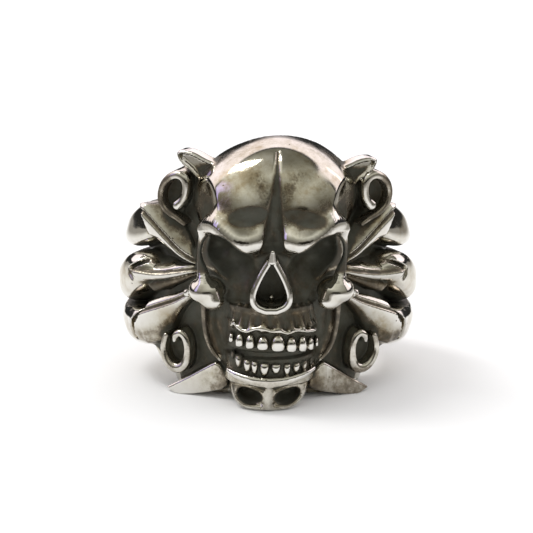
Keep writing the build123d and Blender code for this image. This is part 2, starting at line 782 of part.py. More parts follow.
def surface(values, axes):
    """One point in each cell the surface crosses, four-sided faces between them"""
    inside = values < 0
    nx, ny, nz = values.shape
    count = sum(inside[a:nx - 1 + a, b:ny - 1 + b, c:nz - 1 + c].astype(int) for a, b, c in CORNERS)
    cells = np.nonzero((count > 0) & (count < 8))
    index = np.full(count.shape, -1)
    index[cells] = np.arange(len(cells[0]))
    val = [values[cells[0] + a, cells[1] + b, cells[2] + c] for a, b, c in CORNERS]
    pos = [np.stack([axes[e][cells[e] + k[e]] for e in range(3)], 1) for k in CORNERS]
    total = np.zeros((len(cells[0]), 3))
    hits = np.zeros(len(cells[0]))
    for m, n in EDGES:
        cross = (val[m] < 0) != (val[n] < 0)
        t = np.where(cross, val[m] / np.where(cross, val[m] - val[n], 1), 0)
        total += np.where(cross, 1, 0)[:, None] * (pos[m] + t[:, None] * (pos[n] - pos[m]))
        hits += cross
    points = total / hits[:, None]
    quads = []
    for e in range(3):
        lo = [slice(None)] * 3
        hi = [slice(None)] * 3
        lo[e] = slice(0, -1)
        hi[e] = slice(1, None)
        first = inside[tuple(lo)]
        at = np.nonzero(first != inside[tuple(hi)])
        f, g = [(1, 2), (2, 0), (0, 1)][e]
        ring = []
        for back_f, back_g in ((1, 1), (0, 1), (0, 0), (1, 0)):
            c = [a.copy() for a in at]
            c[f] -= back_f
            c[g] -= back_g
            ring.append(index[tuple(c)])
        quad = np.stack(ring, 1)
        turn = ~first[at]
        quad[turn] = quad[turn][:, ::-1]
        quads.append(quad)
    return points, np.concatenate(quads)


def settle(points, reach, rounds=2):
    """Moves each point along the slope of the field on to the true surface"""
    e = SLOPE_STEP
    for _ in range(rounds):
        f = sculpture(*points.T)
        g = np.empty_like(points)
        for a in range(3):
            d = np.zeros(3)
            d[a] = e
            g[:, a] = (sculpture(*(points + d).T) - sculpture(*(points - d).T)) / (2 * e)
        g2 = np.maximum((g ** 2).sum(1), 0.1)
        points = points - g * np.clip(f / g2, -reach, reach)[:, None]
    flat = points[:, 2] < FLOOR_Z + FLOOR_BAND
    points[flat, 2] = FLOOR_Z
    return points


def main_piece(points, quads):
    """The largest connected surface alone"""
    label = np.arange(len(points))
    ends = np.concatenate([quads[:, [0, 1]], quads[:, [1, 2]], quads[:, [2, 3]]])
    while True:
        low = np.minimum(label[ends[:, 0]], label[ends[:, 1]])
        new = label.copy()
        np.minimum.at(new, ends[:, 0], low)
        np.minimum.at(new, ends[:, 1], low)
        new = new[new]
        if (new == label).all():
            break
        label = new
    names, sizes = np.unique(label, return_counts=True)
    quads = quads[label[quads[:, 0]] == names[np.argmax(sizes)]]
    used, quads = np.unique(quads, return_inverse=True)
    return points[used], quads.reshape(-1, 4)


def triangles(points, quads):
    """Each four-sided face split along its shorter diagonal"""
    d1 = np.linalg.norm(points[quads[:, 0]] - points[quads[:, 2]], axis=1)
    d2 = np.linalg.norm(points[quads[:, 1]] - points[quads[:, 3]], axis=1)
    a = quads[d1 <= d2]
    b = quads[d1 > d2]
    return np.concatenate([a[:, [0, 1, 2]], a[:, [0, 2, 3]], b[:, [1, 2, 3]], b[:, [1, 3, 0]]])


# Limits of the thinning: how far a joined point may move, how unsure a meeting of planes may be,
# what an edge's length counts for, how far a face may turn (as a cosine), how narrow it may be
MOVE_LIMIT = 0.7
DOUBT_LIMIT = 1e-4
LENGTH_SHARE = 2e-5
TURN_LIMIT = 0.5
NARROW_LIMIT = 0.06


def best_point(q, a, b):
    """The point with the least error for the summed plane table q, and that error"""
    q11, q12, q13, q14, q22, q23, q24, q33, q34, q44 = q
    c11 = q22 * q33 - q23 * q23
    c12 = q13 * q23 - q12 * q33
    c13 = q12 * q23 - q13 * q22
    det = q11 * c11 + q12 * c12 + q13 * c13
    size = q11 + q22 + q33
    tries = [((a[0] + b[0]) / 2, (a[1] + b[1]) / 2, (a[2] + b[2]) / 2)]
    if det > DOUBT_LIMIT * size ** 3:
        c22 = q11 * q33 - q13 * q13
        c23 = q12 * q13 - q11 * q23
        c33 = q11 * q22 - q12 * q12
        x = -(c11 * q14 + c12 * q24 + c13 * q34) / det
        y = -(c12 * q14 + c22 * q24 + c23 * q34) / det
        z = -(c13 * q14 + c23 * q24 + c33 * q34) / det
        m = tries[0]
        if (x - m[0]) ** 2 + (y - m[1]) ** 2 + (z - m[2]) ** 2 < MOVE_LIMIT ** 2:
            tries = [(x, y, z)]
    else:
        tries += [a, b]
    best = None
    for x, y, z in tries:
        err = (q11 * x * x + q22 * y * y + q33 * z * z + q44 + 2 * (q12 * x * y + q13 * x * z + q23 * y * z
               + q14 * x + q24 * y + q34 * z))
        if best is None or err < best[0]:
            best = (err, (x, y, z))
    reach = (a[0] - b[0]) ** 2 + (a[1] - b[1]) ** 2 + (a[2] - b[2]) ** 2
    return best[0] + LENGTH_SHARE * reach * reach, best[1]


def normal(a, b, c):
    """Square to a triangle, as long as twice its area"""
    ux, uy, uz = b[0] - a[0], b[1] - a[1], b[2] - a[2]
    vx, vy, vz = c[0] - a[0], c[1] - a[1], c[2] - a[2]
    return uy * vz - uz * vy, uz * vx - ux * vz, ux * vy - uy * vx


def thin_out(points, corners, wanted):
    """Joins the ends of the least needed edges until the wanted number of triangles is left"""
    a, b, c = [points[corners[:, k]] for k in range(3)]
    n = np.cross(b - a, c - a)
    area = np.linalg.norm(n, axis=1)
    n = n / np.maximum(area, 1e-12)[:, None]
    d = -(n * a).sum(1)
    plane = np.column_stack([n, d])
    tables = np.stack([plane[:, i] * plane[:, j] for i in range(4) for j in range(i, 4)], 1) * area[:, None]
    sums = np.zeros((len(points), 10))
    for k in range(3):
        np.add.at(sums, corners[:, k], tables)
    sums = [tuple(q) for q in sums.tolist()]
    places = [tuple(p) for p in points.tolist()]
    tris = corners.tolist()
    around = [set() for _ in places]
    for t, tri in enumerate(tris):
        for v in tri:
            around[v].add(t)
    stamp = [0] * len(places)
    heap = []

    def offer(u, v):
        q = tuple(i + j for i, j in zip(sums[u], sums[v]))
        err, at = best_point(q, places[u], places[v])
        heapq.heappush(heap, (err, u, v, stamp[u], stamp[v], at))

    for u, v in {(min(t[i], t[i - 1]), max(t[i], t[i - 1])) for t in tris for i in range(3)}:
        offer(u, v)
    left = len(tris)
    while left > wanted and heap:
        err, u, v, su, sv, at = heapq.heappop(heap)
        if stamp[u] != su or stamp[v] != sv or stamp[u] < 0 or stamp[v] < 0:
            continue
        shared = around[u] & around[v]
        near_u = {w for t in around[u] for w in tris[t]} - {u, v}
        near_v = {w for t in around[v] for w in tris[t]} - {u, v}
        if len(shared) != 2 or len(near_u & near_v) != 2:
            continue
        good = True
        for w in (u, v):
            for t in around[w] - shared:
                old = [places[k] for k in tris[t]]
                new = [at if k == w else places[k] for k in tris[t]]
                n0 = normal(*old)
                n1 = normal(*new)
                dot = n0[0] * n1[0] + n0[1] * n1[1] + n0[2] * n1[2]
                l0 = (n0[0] ** 2 + n0[1] ** 2 + n0[2] ** 2) ** 0.5
                l1 = (n1[0] ** 2 + n1[1] ** 2 + n1[2] ** 2) ** 0.5
                long2 = max(sum((new[i][e] - new[i - 1][e]) ** 2 for e in range(3)) for i in range(3))
                if dot < TURN_LIMIT * l0 * l1 or l1 < NARROW_LIMIT * long2:
                    good = False
                    break
            if not good:
                break
        if not good:
            continue
        for t in shared:
            for w in tris[t]:
                around[w].discard(t)
            tris[t] = None
        left -= 2
        for t in around[v]:
            tris[t] = [u if w == v else w for w in tris[t]]
            around[u].add(t)
        sums[u] = tuple(i + j for i, j in zip(sums[u], sums[v]))
        places[u] = at
        stamp[u] += 1
        stamp[v] = -1
        around[v] = set()
        for w in {w for t in around[u] for w in tris[t]} - {u}:
            offer(min(u, w), max(u, w))
    kept = np.array([t for t in tris if t])
    used, kept = np.unique(kept, return_inverse=True)
    return np.array(places)[used], kept.reshape(-1, 3)


xs = stations([(-17.2, SIDE_CELL), (-9.2, FACE_CELL), (9.2, SIDE_CELL), (17.2, SIDE_CELL)])
ys = stations([(-20.6, FACE_CELL), (-13.0, FACE_CELL * 1.15), (-8.0, SIDE_CELL), (2.0, BACK_CELL),
               (13.0, BACK_CELL)])
zs = stations([(FLOOR_Z - 0.55, FACE_CELL), (GRID_TOP, FACE_CELL)])
X, Y, Z = np.meshgrid(xs, ys, zs, indexing="ij")
values = sculpture(X.ravel(), Y.ravel(), Z.ravel()).reshape(X.shape)
values = close_pinches(values)
points, quads = surface(values, (xs, ys, zs))
points, quads = main_piece(points, quads)
points = settle(points, FACE_CELL * SETTLE_SHARE)
corners = triangles(points, quads)
points, corners = thin_out(points, corners, TRIANGLES)
points[points[:, 2] < FLOOR_Z + 0.4 * FLOOR_BAND, 2] = FLOOR_Z

vectors = [Vector(*map(float, p)) for p in points]
faces = [Face(Wire.make_polygon([vectors[a], vectors[b], vectors[c]], close=True)) for a, b, c in corners]
casting = Solid(Shell(faces))
ring = casting.cut(Pos(0, 0, BORE_MIDDLE) * Cylinder(BORE_RADIUS, BORE_CUT))

os.makedirs("parts", exist_ok=True)
export_step(ring, "parts/ring.step", write_pcurves=False)
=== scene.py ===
import math
import bpy
import numpy as np
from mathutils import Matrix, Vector


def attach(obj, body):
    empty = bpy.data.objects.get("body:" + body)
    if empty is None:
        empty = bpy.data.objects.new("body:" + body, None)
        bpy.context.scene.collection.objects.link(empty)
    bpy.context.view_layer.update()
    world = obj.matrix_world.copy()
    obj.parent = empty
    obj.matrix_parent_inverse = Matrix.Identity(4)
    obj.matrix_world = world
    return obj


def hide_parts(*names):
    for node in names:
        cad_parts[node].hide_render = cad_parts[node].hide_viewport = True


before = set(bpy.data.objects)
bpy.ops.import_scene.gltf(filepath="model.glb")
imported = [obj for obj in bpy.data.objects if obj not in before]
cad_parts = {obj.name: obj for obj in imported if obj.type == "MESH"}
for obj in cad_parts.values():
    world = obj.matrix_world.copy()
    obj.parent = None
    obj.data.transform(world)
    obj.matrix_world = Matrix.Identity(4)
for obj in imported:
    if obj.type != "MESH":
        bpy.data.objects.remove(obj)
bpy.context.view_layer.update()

# Skull ring: one oxidised silver casting. The forms are worked out in millimetres,
# in the same frame and with the same named sizes as the solid, then put down in metres.
MM = 0.001

# Grid of the casting: cells at the face and behind it, for a full and for a quick picture,
# then where it ends, and the number of triangles made of it
STEPS = (0.17, 0.34)
GRID_SIDE = 16.9
GRID_FRONT = -20.6
GRID_MIDDLE = -8.0
GRID_BACK = 13.0
GRID_BELOW = 0.6
GRID_TOP = 18.7
TRIANGLES = 192000

# How the surface is found: points worked out at once, cells along a coarse cell, coarse cells
# that count as near, step for the slope and least square of a slope
BATCH = 60000
COARSE = 4
NEAR_CELLS = 1.5
SLOPE_STEP = 0.02
LEAST_SLOPE = 0.05

# How crowded with metal a place is: cell of the even grid, width of the change from air to
# metal, the radii looked at, and how many times the reach of one average a radius is
CROWD_CELL = 0.25
CROWD_SOFT = 0.3
CROWD_RADII = (0.5, 1.1, 2.8)
BLUR_SHARE = 1.6

# Sizes of the hole, the skull, the mouth, the front plate and the leaves
BORE_RADIUS = 10.0
FLOOR_Z = -10.2
CRANIUM_HALF_WIDTH = 8.4
CRANIUM_DEPTH = 7.4
CRANIUM_RISE = 6.2
CRANIUM_SQUARENESS = 2.9
FOREHEAD_SLOPE = 0.0235
BROW_RADIUS = 1.25
FURROW_RADIUS = 0.8
NOSE_RIM = 0.45
GUM_RADIUS = 0.2
TOOTH_THICKNESS = 0.78
TOOTH_SQUARENESS = 2.5
CHIN_Z = -6.82
CHIN_RADIUS = 0.32
RAMUS_RADIUS = 0.26
ARCH_HALF = 5.0
ARCH_DEPTH = 4.1
ARCH_BACK = -14.1
PLATE_TURN = 24.4
PLATE_X = 7.5
PLATE_Y = -11.0
SCROLL_STAND = 0.8
SCROLL_LIFT = 0.45
BED_DROP = 1.15
HORN_LIFT = 0.75
TIP_RIM = 0.35
TIP_RISE = 0.04
GAP_RADIUS = 0.42
GAP_PLACE = 0.5
GAP_DEPTH = 0.9
LEAF_LINE = 0.2
LEAF_GROOVE = 0.38
LOBE_LEAN = 0.30
# Width of one degree of turn on the leaves
DEGREE = 0.27

# How far the head leans to the right: height, shift
LEAN = (
    (-10.2, -0.1), (-6.0, 0.2), (0.0, 0.3), (5.0, 0.4), (8.3, 0.55), (12.0, 0.8), (17.0, 1.05),
)

# Masses of the head, which are the forehead, the temple, the jaw and the cheek in two:
# x, y, z, half width, half depth, half height
EGGS = (
    (2.7, -13.4, 10.0, 3.3, 4.85, 5.0),
    (0.0, -10.4, 5.0, 7.9, 5.4, 6.8),
    (0.0, -11.5, 0.0, 6.4, 4.2, 10.5),
    (6.7, -14.6, 2.1, 1.9, 2.0, 1.44),
    (6.0, -15.5, 1.2, 1.15, 1.05, 0.95),
)

# Eye hollow, its inner and its outer half: x, y, z, half width, half depth, half height
EYES = (
    (4.1, -18.4, 5.0, 2.5, 5.184, 2.4),
    (5.55, -17.6, 6.3, 2.15, 5.4, 2.4),
)

# Eye hollow of the small skull, in the same two halves: x, y, z, half width, half depth, half height
SMALL_EYES = (
    (1.9, -17.8, -8.72, 1.25, 2.9, 0.86),
    (2.5, -17.2, -8.5, 0.85, 2.6, 0.72),
)

# Head of the small skull: x, y, z, half width, half depth, half height
SMALL_HEAD = (0.0, -13.8, -8.3, 4.0, 3.9, 2.2)

# Muzzle, bridge and spine of the nose, and nose of the small skull: one end, the other, both radii
MUZZLE = ((0, -14.4, 4.5), (0, -14.6, -0.4), 2.2, 2.9)
NOSE_BRIDGE = ((0, -18.1, 6.1), (0, -18.25, 7.1), 0.42, 0.24)
NOSE_SPINE = ((0, -16.2, 1.3), (0, -17.2, 2.1), 0.4, 0.2)
SMALL_NOSE = ((0, -17.9, -7.2), (0, -17.2, -9.6), 0.42, 0.5)

# Stretch that the scrolls, horns, nose, jaws and small skull each fill:
# x either way from, to, y from, to, z from, to
REACH = (
    (6.0, 14.5, -17.0, -2.0, -10.0, 15.5),
    (3.0, 12.5, -17.0, -4.0, -11.5, 16.5),
    (-1.0, 4.0, -20.0, -11.0, -1.5, 9.5),
    (-1.0, 8.8, -20.5, -8.0, -10.5, 3.0),
    (-1.0, 6.0, -20.0, -8.0, -12.0, -4.5),
)

# Brow ridge from the middle outwards: x, y, z, share of BROW_RADIUS
BROW = (
    (2.1, -18.0, 8.1, 0.80), (3.3, -18.3, 8.0, 1.00), (4.6, -17.7, 8.9, 0.88),
    (5.7, -16.9, 9.7, 0.72), (6.7, -15.8, 9.5, 0.60), (7.1, -14.9, 9.0, 0.50),
)

# Hollows over the brows: x, z, half length, half height, slant, depth
HOLLOWS = (
    (-2.75, 10.45, 1.75, 0.90, 0.10, 0.25),
    (3.1, 10.25, 2.3, 0.85, -0.22, 0.18),
)

# Furrow down the middle of the forehead: x, y, z, share of FURROW_RADIUS
FURROW = (
    (0.0, -14.6, 16.8, 0.10), (0.0, -15.6, 16.1, 0.16), (0.0, -16.5, 15.0, 0.25),
    (0.0, -17.35, 12.9, 0.43), (0.0, -17.75, 10.9, 0.80), (0.0, -17.95, 9.0, 1.10),
    (0.0, -17.6, 7.4, 1.65),
)

# Outer rim of the eye socket: x, y, z, radius
ORBIT = (
    (7.05, -15.1, 8.8, 0.58), (7.35, -14.6, 6.6, 0.40), (7.2, -14.8, 4.4, 0.50),
    (6.9, -15.3, 2.9, 0.85),
)

# Outer corner of the cheekbone: x, y, z, radius
CHEEK_EDGE = (
    (6.9, -14.6, 1.9, 1.00), (8.7, -13.3, 1.45, 0.42),
)

# Nose opening, one half: half width, height
NOSE = (
    (0.5, 1.15), (1.35, 1.5), (1.6, 2.2), (1.42, 3.0), (0.9, 4.2), (0.35, 5.2), (0.06, 5.7),
)

# Upper teeth from left to right: x, half width, heights of the crown's top and of the edge
UPPER = (
    (-4.05, 0.26, -2.0, -3.0), (-3.17, 0.41, -1.95, -3.3), (-2.08, 0.44, -1.9, -3.38),
    (-0.78, 0.56, -2.0, -3.42), (0.76, 0.65, -1.88, -3.57), (2.14, 0.51, -2.2, -3.73),
    (3.28, 0.43, -2.25, -3.86), (4.15, 0.32, -2.6, -3.9), (4.8, 0.20, -2.9, -3.85),
)

# Lower teeth from left to right: x, half width, heights of the edge and of the root
LOWER = (
    (-3.85, 0.20, -4.0, -4.7), (-3.2, 0.36, -4.2, -5.55), (-2.32, 0.38, -4.5, -5.85),
    (-1.58, 0.33, -4.6, -6.0), (-0.56, 0.45, -4.75, -6.1), (0.62, 0.45, -4.85, -5.9),
    (1.75, 0.35, -4.9, -6.1), (2.68, 0.37, -4.9, -5.95), (3.5, 0.30, -4.85, -5.9),
    (4.2, 0.20, -4.8, -5.7),
)

# Gum line over the upper teeth: x, height
GUM_LINE = (
    (-3.8, -0.90), (-3.25, -1.37), (-2.5, -1.50), (-1.6, -1.15), (-0.8, -1.10), (0.0, -1.33),
    (1.05, -1.38), (1.75, -1.62), (2.7, -1.42), (3.8, -1.72), (4.6, -1.90),
)

# Sheet of the jaw's side and its outer edge: x, y, z, radius or share of RAMUS_RADIUS
JAW_SHEET = (
    (6.0, -11.9, 0.5, 1.0), (5.9, -11.9, -2.5, 1.0), (5.0, -12.4, -5.0, 1.0),
)
JAW_EDGE = (
    (7.0, -13.0, 0.6, 1.3), (6.95, -12.9, -1.5, 1.0), (6.7, -12.9, -3.3, 1.0),
    (6.1, -13.2, -4.8, 0.9), (5.2, -13.9, -5.6, 0.6),
)

# Rim of the small skull under the chin: x, y, z, radius
SMALL_RIM = (
    (3.55, -14.9, -7.6, 0.34), (3.55, -15.4, -8.6, 0.33), (3.1, -16.0, -9.35, 0.30),
    (2.2, -16.7, -9.8, 0.28), (0.6, -17.1, -9.85, 0.30),
)

# The band: angle from the face, top, bottom, wall
BAND = (
    (0, 14.6, -9.6, 2.3), (30, 14.4, -10.2, 2.3), (45, 13.2, -10.4, 2.4), (55, 10.5, -10.4, 2.4),
    (61, 9.0, -10.2, 2.5), (65, 8.3, -8.6, 2.5), (70, 7.6, -7.6, 2.6), (90, 6.4, -6.4, 2.6),
    (120, 5.4, -5.4, 2.3), (150, 4.6, -4.6, 1.85), (180, 4.5, -4.5, 1.8),
)

# Folded front leaves, top to bottom: angle, crease height, reach above, reach below, radius,
# slant above, slant below
FRONT = (
    (
        (31, 4.0, 0.4, 0.3, 12.8, 0.4, 0.3),
        (36, 4.3, 1.1, 0.4, 13.5, 0.5, 0.4),
        (41.4, 5.1, 2.2, 0.6, 14.1, 0.55, 0.4),
        (47.4, 6.6, 2.4, 1.15, 14.8, 0.6, 0.4),
        (52.9, 8.0, 1.7, 1.9, 15.4, 0.7, 0.4),
        (57, 9.0, 0.7, 2.7, 15.9, 0.8, 0.4),
    ),
    (
        (31, 3.4, 0.3, 0.3, 12.7, 0.5, 0.3),
        (36, 3.3, 0.4, 0.4, 13.4, 0.6, 0.4),
        (45, 2.85, 0.7, 0.7, 14.2, 1.2, 0.5),
        (52, 2.5, 1.3, 0.85, 15.0, 1.9, 0.6),
        (57, 2.45, 1.3, 1.0, 15.7, 2.4, 0.6),
        (61, 2.5, 0.8, 1.3, 16.3, 2.4, 0.5),
    ),
    (
        (31, 1.5, 0.3, 0.4, 12.7, 0.6, 0.3),
        (36, 1.0, 0.4, 0.7, 13.4, 0.8, 0.4),
        (45, -0.3, 0.7, 1.7, 14.2, 0.9, 0.5),
        (52, -1.1, 0.9, 3.6, 15.1, 0.9, 0.4),
        (58.5, -1.9, 0.7, 3.7, 16.0, 0.9, 0.3),
    ),
)

# Underside of the middle front leaf: angle, middle height, half height, radius
UNDER = (
    (31, 2.9, 0.15, 12.5), (36, 2.65, 0.25, 12.9), (45, 1.85, 0.45, 13.5), (52, 1.2, 0.60, 14.0),
    (61, 0.4, 0.85, 14.8),
)

# Where the front leaves end, bottom to top: height, angle
FRONT_END = (
    ((6.0, 57.0), (8.9, 58.2), (9.9, 62.0)),
    ((-0.4, 56.0), (1.0, 60.5), (2.4, 62.5), (3.4, 57.0)),
    ((-5.6, 65.5), (-3.5, 62.5), (-1.8, 58.0), (-1.2, 57.0)),
)

# Leaves running on round the finger: angle, middle height, half height, radius
SIDE = (
    (
        (53, 8.0, 1.1, 14.0), (60, 7.6, 2.3, 15.35), (68, 6.95, 2.5, 15.6), (83, 5.75, 2.25, 15.5),
        (95, 4.9, 2.0, 14.9), (110, 4.0, 1.7, 13.7), (125, 3.1, 1.4, 12.7), (140, 2.5, 1.1, 12.0),
    ),
    (
        (55, 2.5, 0.9, 14.4), (62, 2.1, 2.0, 15.6), (70, 1.4, 2.45, 15.75), (83, 0.0, 2.5, 15.65),
        (95, -0.1, 2.2, 15.1), (110, 0.0, 1.9, 13.9), (125, 0.0, 1.5, 12.9), (140, 0.0, 1.1, 12.1),
    ),
    (
        (53, -3.2, 0.9, 14.2), (60, -3.8, 1.9, 15.5), (70, -4.4, 2.2, 15.75),
        (83, -4.9, 2.25, 15.6), (95, -4.5, 2.0, 15.0), (110, -3.7, 1.7, 13.8),
        (125, -2.9, 1.4, 12.8), (140, -2.4, 1.1, 12.0),
    ),
)

# Scroll walls from the outer end inwards: x, z, half thickness
UPPER_SCROLL = (
    (9.4, 8.2, 0.22), (10.2, 8.75, 0.27), (11.1, 9.2, 0.30), (11.85, 9.95, 0.32),
    (12.1, 11.0, 0.32), (11.85, 12.2, 0.35), (11.15, 13.05, 0.42), (10.3, 13.4, 0.50),
    (9.65, 13.1, 0.52), (9.35, 12.4, 0.50), (9.4, 11.4, 0.46), (9.75, 10.6, 0.48),
    (10.15, 10.15, 0.58),
)
LOWER_SCROLL = (
    (11.05, -4.1, 0.30), (11.35, -5.3, 0.34), (11.05, -6.6, 0.42), (10.25, -7.45, 0.54),
    (9.35, -7.45, 0.58), (8.8, -6.65, 0.50), (8.7, -5.3, 0.42), (8.95, -4.1, 0.42),
    (9.5, -3.55, 0.44), (10.05, -3.95, 0.40), (10.15, -4.55, 0.22),
)

# Outline of a bottom horn and of a top leaf tip: x, z
HORN = (
    (10.95, -9.75), (8.8, -8.35), (6.6, -6.75), (5.6, -6.1), (4.4, -7.6), (4.4, -9.0), (7.1, -9.9),
    (9.7, -10.35),
)
TIP = (
    (6.0, 14.5), (6.6, 14.7), (7.6, 15.0), (8.6, 15.45), (9.6, 15.6), (10.25, 15.5), (10.55, 15.15),
    (10.4, 14.55), (10.05, 14.1), (9.5, 13.75), (9.0, 13.4), (8.3, 12.75), (7.2, 12.3), (6.0, 12.5),
)

# How far up over each hollow of the forehead its black sits, as painted shade over the hollow's top edge,
# where the face ends to the rear and to the sides, and the angles at which the front leaves and their
# creases start
HOLLOW_SHADE_RISE = 0.35
FACE_BACK = -12.5
FACE_SIDE = 8.2
LEAF_START = 31
CREASE_START = 33

# Where black is left on purpose, as patina, and where painted shade is laid, over the brow hollows and on
# the down-facing lip under them: how much, one for whole, or the name of a tone of its own, then each
# measure that bounds it, with its start and the width, below zero where it grows downwards
SHARP = 1e-6
AHEAD = ("y", FACE_BACK, -SHARP)
BLACK = (
    (1.00, ("eye", 0.32, -0.22)),
    (0.92, ("small eye", 0.22, -0.2)),
    # painted shade, partly patina: the hollows over the brows darkened, their black raised over the top
    # edge to hide the floor's reflection there
    (1.00, ("left hollow", 0.14, 0.20), AHEAD),
    (0.92, ("right hollow", 0.14, 0.40), AHEAD),
    # painted shade: the down-facing lip under the brow hollows darkened where it would mirror the bright
    # floor
    (0.60, ("lip", 0.02, 0.15), ("up", 0.20, -0.12), ("z", 9.6, SHARP), AHEAD),
    ("furrow", ("furrow", 0.50, -0.55), ("z", 15.6, -2.5)),
    (0.75, ("side", 5.6, 0.6), ("side", FACE_SIDE, -SHARP), ("z", 3.9, 0.5), ("z", 7.9, -0.8), AHEAD),
    ("nose hole", ("nose", 0.1, -0.2), ("y", -17.9, 0.5), AHEAD),
    (0.85, ("nose", 0.3, 0.15), ("nose", 1.1, -0.2), ("y", -17.5, 0.35), ("z", 7.5, -1.0), AHEAD),
    ("bone", ("nose", 0.62, 0.25), ("side", 5.6, -0.8), ("cheek", 0.3, 0.4), ("z", -0.2, 0.8),
     ("z", 7.0, -1.2), AHEAD),
    ("roots", ("gum", 0.2, 0.2), ("z", 0.6, -0.5), ("side", 5.6, -0.8), AHEAD),
    (0.90, ("arch", 0.12, -0.22), ("gum", -0.25, -0.15), ("chin", 0.35, 0.2), ("side", 5.6, -SHARP), AHEAD),
    (0.62, ("side", 5.0, 0.6), ("side", FACE_SIDE, -SHARP), ("z", -6.4, 1.0), ("z", 1.0, -0.6), AHEAD),
    (0.24, ("z", -6.4, -0.4), AHEAD),
    ("horn", ("z", -6.9, -0.4), ("side", 4.1, SHARP), ("y", -9.0, -SHARP)),
)

# Black on the walls of the scrolls: table, how black, up to which share of its length, then the rest's
SCROLL_BLACK = ((UPPER_SCROLL, 0.50, 0.62), (LOWER_SCROLL, 0.24, 0.80))
SCROLL_END = 0.15

# Black on the creases, in the gaps and under the middle leaf, and on the far faces of the upper
# and the lower front leaf, to the right and to the left
CREASE_BLACK = 0.80
GAP_BLACK = 0.75
UNDER_BLACK = 0.62
UPPER_BLACK = (0.66, 0.40)
LOWER_BLACK = (0.62, 0.42)

# Scales of the patterns in the silver, per metre
CLOUDS = 900.0
GRAINS = 4200.0
PATCHES = 700.0
PORES = 1100.0
PORE_FIELDS = 420.0
FINE_FILM = 1300.0
WIDE_FILM = 260.0
HAIRS = 1500.0

# The table: half width, front and rear edge, and the white paper on it: half width under the
# ring, how much wider it gets to the rear, front edge. All in metres
TABLE = (0.55, -0.45, 0.26)
PAPER = (0.034, 0.06, -0.058)

# Lamps: name, place, width, height, power, colour, turn in degrees, whether matt things show it
LAMPS = (
    ("upper_box", (-0.24, 0.02, 0.46), 0.25, 0.105, 0.78, (1.0, 1.0, 1.0), 55.0, True),
    ("left_box", (-0.44, -0.10, 0.22), 0.15, 0.28, 0.13, (0.50, 0.40, 1.0), 0.0, False),
    ("right_box", (0.42, 0.24, 0.26), 0.08, 0.26, 0.08, (1.0, 0.88, 0.82), 0.0, False),
)
LAMP_AIM = (0.0, -0.01, 0.0)

# The camera: the point it looks at, its distance in metres, its lift and half its field in
# degrees, and the width of its sensor in millimetres
CAMERA_AIM = (-0.00015, -0.017, 0.00527)
CAMERA_FAR = 0.4
CAMERA_LIFT = 15.0
HALF_FIELD = 3.915
SENSOR = 36.0


def egg(p, row):
    """An egg along the axes: its middle, then its half width, half depth and half height"""
    q = [(p[i] - row[i]) / row[i + 3] for i in range(3)]
    near = np.sqrt(q[0] ** 2 + q[1] ** 2 + q[2] ** 2)
    slope = np.sqrt(sum((q[i] / row[i + 3]) ** 2 for i in range(3)))
    return near * (near - 1.0) / np.maximum(slope, 1e-6)


def block(q, size, power):
    """A block with well rounded corners about the origin"""
    k = sum(np.abs(q[i] / size[i]) ** power for i in range(3)) ** (1 / power)
    return (k - 1.0) * min(size)


def limb(p, a, b, ra, rb):
    """A straight limb with round ends, of radius ra at a and rb at b"""
    ab = [b[i] - a[i] for i in range(3)]
    t = sum((p[i] - a[i]) * ab[i] for i in range(3)) / sum(c * c for c in ab)
    t = np.clip(t, 0.0, 1.0)
    d = np.sqrt(sum((p[i] - a[i] - t * ab[i]) ** 2 for i in range(3)))
    return d - (ra + (rb - ra) * t)


def chain(p, rows, radius=1.0):
    """Limbs from row to row, each row an end point and its share of the radius"""
    out = None
    for a, b in zip(rows[:-1], rows[1:]):
        d = limb(p, a[:3], b[:3], a[3] * radius, b[3] * radius)
        out = d if out is None else np.minimum(out, d)
    return out


def rounded(rows, rounds=2):
    """The same line with its corners cut again and again, so that it runs smoothly"""
    for _ in range(rounds):
        line = [rows[0]]
        for a, b in zip(rows[:-1], rows[1:]):
            line.append(tuple(0.75 * i + 0.25 * j for i, j in zip(a, b)))
            line.append(tuple(0.25 * i + 0.75 * j for i, j in zip(a, b)))
        rows = line + [rows[-1]]
    return rows


def join(a, b, k):
    """Both together, the corner between them filled over the width k"""
    h = np.maximum(k - np.abs(a - b), 0.0) / k
    return np.minimum(a, b) - h * h * k * 0.25


def cut(a, b, k):
    """The first without the second, the edge softened over the width k"""
    return -join(-a, b, k)


def meet(a, b, k):
    """What both share, the edge softened over the width k"""
    return -join(-a, -b, k)


def ease(t):
    """A smooth step, none at 0 and one at 1"""
    t = np.clip(t, 0.0, 1.0)
    return t * t * (3 - 2 * t)


def spline(t, rows, column):
    """A smooth run through one column of a table, against its first column"""
    ts = np.array([row[0] for row in rows], float)
    vs = np.array([row[column] for row in rows], float)
    m = np.gradient(vs, ts)
    t = np.clip(t, ts[0], ts[-1])
    i = np.clip(np.searchsorted(ts, t) - 1, 0, len(ts) - 2)
    h = ts[i + 1] - ts[i]
    s = (t - ts[i]) / h
    return ((1 + 2 * s) * (1 - s) ** 2 * vs[i] + s * (1 - s) ** 2 * h * m[i]
            + s * s * (3 - 2 * s) * vs[i + 1] + s * s * (s - 1) * h * m[i + 1])


